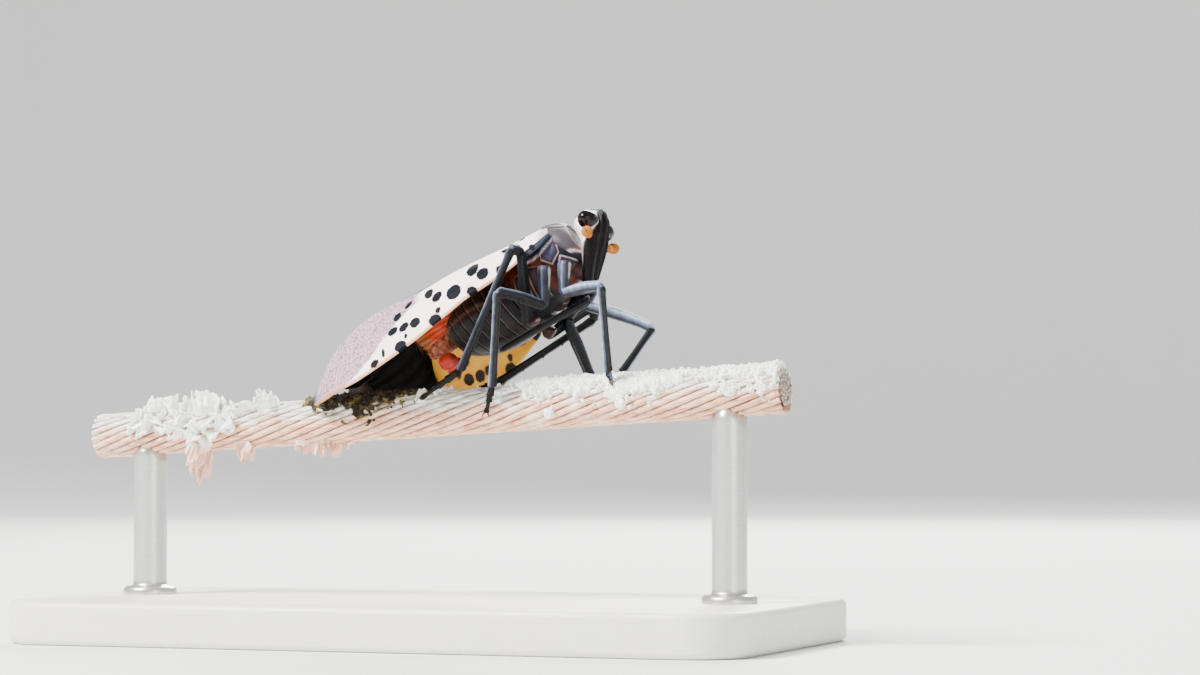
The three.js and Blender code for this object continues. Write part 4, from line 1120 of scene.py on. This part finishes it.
net_crest = wing.sum_of(wing_at["along"], 0.5, wing_at["across"], operation="MULTIPLY_ADD")
net = wing.blend(wing.fade(net_crest, 2.6, 4.9), shade(112, 118, 144), shade(190, 158, 168))
net = wing.blend(wing.times(wing.fade(wing_cloud, 0.4, 0.7), 0.6), net, shade(182, 146, 154))
net = wing.blend(wing.times(net_dark, 0.75), net, shade(78, 66, 86))
net = wing.blend(wing.times(wing.fade(wing_grain, 0.6, 0.76), 0.6), net, shade(210, 194, 202))
net = wing.blend(wing.fade(wing_at["back"], 0.75, 0.1), net, shade(82, 92, 120))
net_edge = wing.sum_of(wing_at["net"], wing.ragged(wing_flat, 2.4, 3.0, 0.9))
wing_colour = wing.blend(wing.fade(net_edge, 0.3, 0.75), cream, net)
front_rim = wing.times(wing.fade(wing_at["front"], 0.26, 0.1), 0.75)
wing_colour = wing.blend(front_rim, wing_colour, shade(204, 140, 84))
wing_colour = wing.blend(wing.times(wing_at["root"], 0.6), wing_colour, shade(150, 118, 140))
hinge_colour = wing.blend(wing.fade(wing_at["hinge"], 0.95, 0.6), shade(44, 48, 62), shade(14, 15, 20))
wing_colour = wing.blend(wing.fade(wing_at["hinge"], 0.2, 0.5), wing_colour, hinge_colour)
spot_colour = wing.blend(wing.fade(wing_grain, 0.45, 0.75), shade(2, 3, 6), shade(14, 21, 44))
spotted = wing.fade(wing.sum_of(wing_at["spot"], wing.ragged(wing_flat, 6.0, 4.0, 0.17)), -0.05, -0.01)
net_hollow = wing.times(net_dark, wing.times(wing_at["net"], -0.9))
wing.coat(wing.blend(spotted, wing_colour, spot_colour), wing.sum_of(wing_grain, net_hollow), 0.02, 0.6)

# Painted light: the inner face of each forewing is amber, the colour of light shining through the wing from
# behind.
amber = Finish("amber_underwing", 0.42, {"Subsurface Weight": 0.15, "Subsurface Scale": 0.0004})
amber_flat = amber.vector(amber.kept("along"), amber.kept("across"))
amber_cloud = amber.mottle(amber_flat, 1.4, 4.0)
amber_colour = amber.blend(amber_cloud, shade(186, 142, 20), shade(222, 184, 58))
# Painted shade: towards the tip the inner face is painted near black.
amber_colour = amber.blend(amber.fade(amber.kept("net"), 0.2, 0.8), amber_colour, shade(26, 18, 18))
amber_spot = amber.sum_of(amber.kept("spot"), amber.ragged(amber_flat, 4.0, 3.0, 0.2))
amber_spot = amber.fade(amber_spot, -0.1, 0.02)
amber.coat(amber.blend(amber_spot, amber_colour, shade(5, 4, 5)), amber_cloud, 0.03, 0.5)

at_edge = 0.05 * (1 - np.minimum(np.minimum(v, 1 - v) * wing_width / 0.12, 1))
ripples = 0.03 * ripple(along * 0.9, across * 0.9, 33, 14)
outer, inner = sheet_between(
    wing_surface(u, v, WING_BACK), vein_lift + 0.09 * line_at(from_front, 0.14, 0.12) + ripples - at_edge,
    ripples - WING_THICK + 0.8 * at_edge + 0.4 * vein_lift)
wing_values = {
    "spot": spot_depth, "vein": vein_line, "across": across, "along": along,
    "hinge": step_up(from_back, wing_width - 0.62, wing_width - 0.52) * step_up(along, 1.5, 0.4),
    "root": step_up(along, 0.1, -0.5), "back": np.minimum(from_back, (1 - u) * 18), "front": from_front,
}
doubled = {key: np.tile(data.ravel(), 2) for key, data in wing_values.items()}
# Painted shade: the part of the inner face out towards the tip, which the underwing finish paints near black.
painted_shade_share = step_up(u, PAINTED_SHADE_START - 0.02, PAINTED_SHADE_START + 0.02)
doubled["net"] = np.concatenate([net_share.ravel(), painted_shade_share.ravel()])
for name, side in (("left", 1), ("right", -1)):
    points, faces = thin_shell(outer * [1, side, 1], inner * [1, side, 1])
    wing_mesh = make_mesh("forewing_" + name, to_world(points), faces, doubled)
    wing_mesh.materials.append(wing.material)
    wing_mesh.materials.append(amber.material)
    inner_start = (WING_ROWS - 1) * (WING_COLUMNS - 1)
    slots = np.zeros(len(wing_mesh.polygons), int)
    slots[inner_start:2 * inner_start] = 1
    wing_mesh.polygons.foreach_set("material_index", slots)
    finish_piece("forewing_" + name, wing_mesh, ("tegmen_" + name,))

# Hindwings: folded fans under the forewings, orange-red with spots at the root, then pale, then black.
# The pleats run out from the root, and the lower edge hangs just inside the forewing.
# An outer row holds a share along the fan and how far across the wing its lower edge hangs there.
HINDWING_OUTER = [
    (0, 0.33), (0.5, 0.36), (0.655, 0.42), (0.672, 0.72), (0.69, 0.86), (0.74, 0.96), (0.84, 0.98),
    (0.93, 0.93), (0.97, 0.84), (1.0, 0.6),
]
HINDWING_FIRST, HINDWING_LAST, HINDWING_INNER, HINDWING_DEPTH = 0.2, 0.88, 0.06, 0.95
ROOT_SPOTS = [(0.1, 0.3, 0.06), (0.2, 0.6, 0.07), (0.28, 0.25, 0.06), (0.18, 0.9, 0.05), (0.3, 0.85, 0.06)]
share, fan = grid_of(np.linspace(0, 1, 170), np.linspace(0, 1, 120))
fan_outer = np.interp(share, *np.array(HINDWING_OUTER).T)
fan_grid = wing_surface(
    HINDWING_FIRST + (HINDWING_LAST - HINDWING_FIRST) * share,
    HINDWING_INNER + (fan_outer - HINDWING_INNER) * fan, WING_BACK_SOLID)
pleats = 0.06 * np.sin(fan * 44) * step_up(share, 0.0, 0.3) + 0.06 * ripple(share * 8, fan * 5, 41, 10)
fan_front, fan_rear = sheet_between(fan_grid, pleats - HINDWING_DEPTH + 0.03, pleats - HINDWING_DEPTH - 0.03)
tint = plain((0.55, 0.05, 0.008), fan_grid)
tint = mixed(tint, shade(150, 96, 60), step_up(share, 0.56, 0.62) * step_up(fan, 0.2, 0.7))
tint = mixed(tint, shade(1, 1, 1), step_up(share + 0.012 * np.sin(7 * fan + 1), 0.635, 0.66))
for spot_share, spot_fan, spot_size in ROOT_SPOTS:
    away = np.hypot(share - spot_share, (fan - spot_fan) * 0.5)
    tint = mixed(tint, shade(16, 14, 16), step_up(away, spot_size * 0.62, spot_size * 0.45))
fan_coat = tinted_finish("folded_hindwing", 0.7, 0.2, 0.02, 0.15)
fan_tint = np.vstack([tint.reshape(-1, 3)] * 2)
for name, side in (("left", 1), ("right", -1)):
    fan_shape = *thin_shell(fan_front * [1, side, 1], fan_rear * [1, side, 1]), fan_tint
    tinted_piece("hindwing_fan_" + name, [fan_shape], ("hindwing_" + name,), fan_coat)

# Beak: a slender dark sheath of jointed tubes that lies back between the legs, grooved along its underside.
# A row holds the place along the body, the height and the radius.
BEAK = [
    [1.5, -1.35, 0.2], [1.2, -1.62, 0.32], [-0.4, -1.7, 0.28], [-2.4, -1.8, 0.25], [-4.4, -1.9, 0.22],
    [-5.5, -1.96, 0.2], [-5.9, -1.98, 0.1],
]
place, height, radius = through(BEAK, 90).T[..., None]
turn = full_turn(28)[None]
radius = radius * (1 + 0.16 * line_at(place, -0.5, 0.12) + 0.16 * line_at(place, -2.7, 0.12))
radius = radius * (1 - 0.22 * line_at(turn, 1.5 * math.pi, 0.3))
rings = np.stack([place + 0 * turn, radius * np.cos(turn), height + radius * np.sin(turn)], -1)
points, faces = lofted(rings)
# Painted highlight: a pale line runs along the top of the dark beak.
beak_top_highlight = line_at(points[:, 2] + 1.4 + 0.05 * (1.3 - points[:, 0]), 0, 0.07)
tint = mixed(plain(HORN, points), shade(110, 108, 122), beak_top_highlight * 0.6)
horn_coat = tinted_finish("dark_horn", 0.42, 0.1, 0.03)
tinted_piece("beak_sheath", [(points, faces, tint)], ("beak",), horn_coat)

# Legs: blue-black horn with pale dust and a painted sheen on the side to the lamps, long ridges, flat hip
# plates, spines on the hind shins, three foot joints and a pair of claws that grip the cable, and short stiff
# hairs all along.
# Root and hip are in the body frame, and the rest in the frame of the stand, where the feet hold the cable.
# Each leg's share of pale tint is partly real dust and partly painted sheen; the far mid and hind legs get
# little of it, as painted shade.
LEGS = {
    "fore_right": dict(
        root=(1.4, -2.1, 0.8), hip=(0.35, -1.45, -1.1), knee=(14.28, -4.1, 24.33), shin=(14.28, -4.1, 24.33),
        ankle=(13.85, -1.6, 18.6), toe=(14.1, -1.6, 17.95), thigh=0.38, dust_and_sheen=0.85, spines=0),
    "fore_left": dict(
        root=(1.4, 2.1, 0.8), hip=(0.5, 1.4, -1.05), knee=(15.62, 2.5, 21.72), shin=(15.62, 2.5, 21.72),
        ankle=(13.7, 1.5, 18.62), toe=(13.05, 1.55, 18.1), thigh=0.38, dust_and_sheen=0.85, spines=0),
    "mid_right": dict(
        root=(0.1, -2.75, 0.8), hip=(-1.1, -1.9, -1.6), knee=(6.93, -4.55, 24.03), shin=(6.93, -4.55, 24.03),
        ankle=(5.57, -2.2, 17.65), toe=(4.95, -2.0, 15.85), thigh=0.36, dust_and_sheen=0.6, spines=0),
    "mid_left": dict(
        root=(0.1, 2.75, 0.8), hip=(-1.2, 1.7, -1.2), knee=(10.95, 2.9, 18.2), shin=(10.95, 2.9, 18.2),
        ankle=(6.4, 2.6, 15.6), toe=(5.0, 1.85, 14.7), thigh=0.4, dust_and_sheen=0.12, spines=0),
    "hind_right": dict(
        root=(-2.3, -0.95, -1.5), hip=(-2.85, -1.45, -1.9), knee=(8.1, -3.2, 26.85), shin=(7.9, -4.35, 27.0),
        ankle=(3.15, -2.1, 18.8), toe=(-0.1, -1.75, 17.1), thigh=0.36, dust_and_sheen=0.4, spines=4),
    "hind_left": dict(
        root=(-2.3, 0.95, -1.5), hip=(-2.85, 1.45, -1.9), knee=(10.5, 4.3, 23.3), shin=(10.35, 5.0, 22.5),
        ankle=(4.35, 1.6, 17.95), toe=(1.9, 1.6, 17.6), thigh=0.36, dust_and_sheen=0.12, spines=4),
}
# The pale blue-grey of the dust and of the painted sheen on the legs.
DUST_AND_SHEEN = shade(156, 168, 200)
SHANK = shade(6, 6, 8)
CLAW = shade(96, 52, 40)
CRUST_START, TOE_ON_CRUST, TOE_ON_WIRE = 8, 1.95, 1.78
HIP_SHAPE = [(0, 0.75), (0.1, 0.95), (0.5, 0.85), (0.9, 0.6), (1, 0.4)]
SOCKET_SHAPE = [(0, 0.6), (0.4, 1.1), (1, 0.6)]
THIGH_SHAPE = [(0, 0.5), (0.03, 0.78), (0.12, 0.95), (0.45, 1.06), (0.85, 0.9), (0.95, 1.0), (1.0, 0.7)]
KNEE_SHAPE = [(0, 0.8), (0.5, 1.2), (1, 0.8)]
SHIN_SHAPE = [(0, 0.75), (0.04, 1.05), (0.1, 0.9), (0.5, 0.84), (0.92, 0.95), (0.98, 1.05), (1.0, 0.7)]
FOOT_SHAPE = [(0, 0.55), (0.15, 0.9), (0.75, 1.0), (0.95, 1.15), (1.0, 0.7)]
TOE_SHAPE = [(0, 0.5), (0.2, 0.75), (0.6, 0.7), (0.9, 1.1), (1.0, 0.7)]


def unit(vector):
    """A vector of length one."""
    return vector / np.linalg.norm(vector)


def limb(start, end, shape, radius, rows, sides, ridge, colour, dust_and_sheen, sag=0.0, flat=1.0, up=(0, 0, 1)):
    """A ridged limb between two points, with its tint: pale dust and painted sheen on the ridges and on the
    upper side.
    """
    share = np.linspace(0, 1, rows)
    share = np.clip(0.5 - 0.5 * np.cos(math.pi * share) * (1 - 0.15 * np.sin(math.pi * share)), 0, 1)
    size = np.interp(share, *np.array(shape).T) * radius
    along = unit(end - start)
    side = unit(np.cross(along, up))
    over = np.cross(side, along)
    centre = start + share[:, None] * (end - start)
    centre[:, 2] += 4 * sag * share * (1 - share)
    turn = full_turn(sides)[None]
    ridged = 1 + ridge * np.abs(np.cos(2.5 * turn + 0.4)) ** 6 - 0.5 * ridge
    ring = size[:, None] * ridged
    rings = centre[:, None] + (ring * np.cos(turn))[..., None] * over
    rings = rings + (flat * ring * np.sin(turn))[..., None] * side
    crest = np.clip(ridged - 1, 0, 1) / ridge * 2
    # Painted sheen: the side of each limb turned up towards the lamps is paler.
    painted_lit_side = np.clip(0.15 + 0.85 * np.cos(turn - 0.6), 0, 1) ** 1.6
    dust_and_sheen_share = (0.06 + 0.94 * crest) * (0.05 + 0.95 * painted_lit_side) * dust_and_sheen + 0.75 * painted_lit_side * dust_and_sheen ** 2 + 0 * ring
    tint = mixed(plain(colour, rings), DUST_AND_SHEEN, np.clip(dust_and_sheen_share, 0, 1))
    return tinted(rings, tint, (tint[0, 0], tint[-1, 0]))


def spike(root, tip, radius, bend, colour):
    """A tapering curved spine or claw."""
    share = np.linspace(0, 1, 10)[:, None]
    path = root + share * (tip - root) + 4 * share * (1 - share) * bend
    side = unit(np.cross(tip - root, [0.3, 0.9, 0.1]))
    over = np.cross(side, unit(tip - root))
    turn = full_turn(10)[None]
    ring = radius * (1 - 0.93 * share)
    points, faces = lofted(
        path[:, None] + (ring * np.cos(turn))[..., None] * side + (ring * np.sin(turn))[..., None] * over)
    return points, faces, plain(colour, points)


hair = Finish("dark_hair", 0.5, {"Base Color": shade(40, 38, 42)})
hairs = Growth("leg_hairs", {
    "Density": 9.0e6, "Length": 0.16 * METRES, "Thickness": 0.011 * METRES, "Seed": 5,
})
bristles(hairs, seats_on(hairs, False), (-0.5, 0.0, -0.9), draw_between(hairs, 0.5, 1.2, 8), hair)

for name, leg in LEGS.items():
    root, hip = to_world(leg["root"]), to_world(leg["hip"])
    knee, shin, ankle, toe = (np.array(leg[key]) for key in ("knee", "shin", "ankle", "toe"))
    thigh, dust_and_sheen, spines = leg["thigh"], leg["dust_and_sheen"], leg["spines"]
    outwards = body_turn @ np.array([0, math.copysign(1, leg["root"][1]), 0.5])
    under_toe = cable_point(toe[0], 0.0, 0.0)
    toe_reach = TOE_ON_CRUST if toe[0] > CRUST_START else TOE_ON_WIRE
    toe = under_toe + (toe - under_toe) * min(1, toe_reach / np.linalg.norm(toe - under_toe))
    points, faces, tint = limb(
        root, hip, HIP_SHAPE, 0.42, 60, 44, 0.12, RUST_DARK if spines else SLATE_DARK, 0.55 * dust_and_sheen,
        flat=1.45, up=outwards)
    off_middle = np.abs((points - root) @ unit(np.cross(hip - root, outwards)))
    tint = mixed(tint, CREAM, step_up(off_middle, 0.48, 0.56) * (0.15 if spines else 0.35))
    shapes = [(points, faces, tint)]
    socket = hip + 0.25 * unit(root - hip)
    shapes.append(limb(
        socket, hip + 0.5 * unit(knee - hip), SOCKET_SHAPE, thigh * 0.85, 20, 32, 0.05, SHANK, dust_and_sheen * 0.5))
    shapes.append(limb(hip, knee, THIGH_SHAPE, thigh, 90, 40, 0.22, SHANK, dust_and_sheen, sag=0.12))
    if spines:
        shapes.append(limb(knee, shin, KNEE_SHAPE, thigh, 20, 32, 0.1, SHANK, dust_and_sheen))
    shapes.append(limb(shin, ankle, SHIN_SHAPE, 0.29, 100, 40, 0.3, SHANK, dust_and_sheen * 1.1, up=outwards))
    along = unit(ankle - shin)
    for spine in range(spines):
        at = shin + (0.3 + 0.2 * spine) * (ankle - shin)
        down = unit(np.array([0, 0, -1]) + 0.6 * along)
        shapes.append(spike(at, at + 0.6 * down, 0.15, 0.04 * along, SHANK))
    for turn in np.radians(np.linspace(-75, 75, 6)) if spines else ():
        spread = np.array([0, math.sin(turn), -math.cos(turn)])
        tip = ankle + 0.3 * along + 0.5 * spread
        shapes.append(spike(ankle - 0.1 * along + 0.12 * spread, tip, 0.09, 0.03 * along, SHANK))
    stretch = toe - ankle
    for size, shape, first, last in (
            (0.25, FOOT_SHAPE, 0, 0.34), (0.22, FOOT_SHAPE, 0.3, 0.56), (0.19, TOE_SHAPE, 0.52, 1.0)):
        shapes.append(limb(
            ankle + first * stretch, ankle + last * stretch, shape, size, 30, 28, 0.12, SHANK, dust_and_sheen * 0.5))
    forward = unit(stretch)
    across = unit(np.cross(forward, [0, 0, 1]))
    for turn in (-1, 1):
        tip = toe + 0.34 * forward + turn * 0.26 * across - np.array([0, 0, 0.04])
        aside = turn * 0.06 * across
        shapes.append(spike(toe - 0.1 * forward + aside, tip, 0.1, aside, CLAW))
    parts = [name + part for part in ("_coxa", "_femur", "_tibia", "_tarsus")]
    leg_mesh = tinted_piece("leg_" + name, shapes, parts, horn_coat, np.asarray)
    finish_piece("leg_hairs_" + name, hairs.grown("leg_hairs_" + name, leg_mesh))
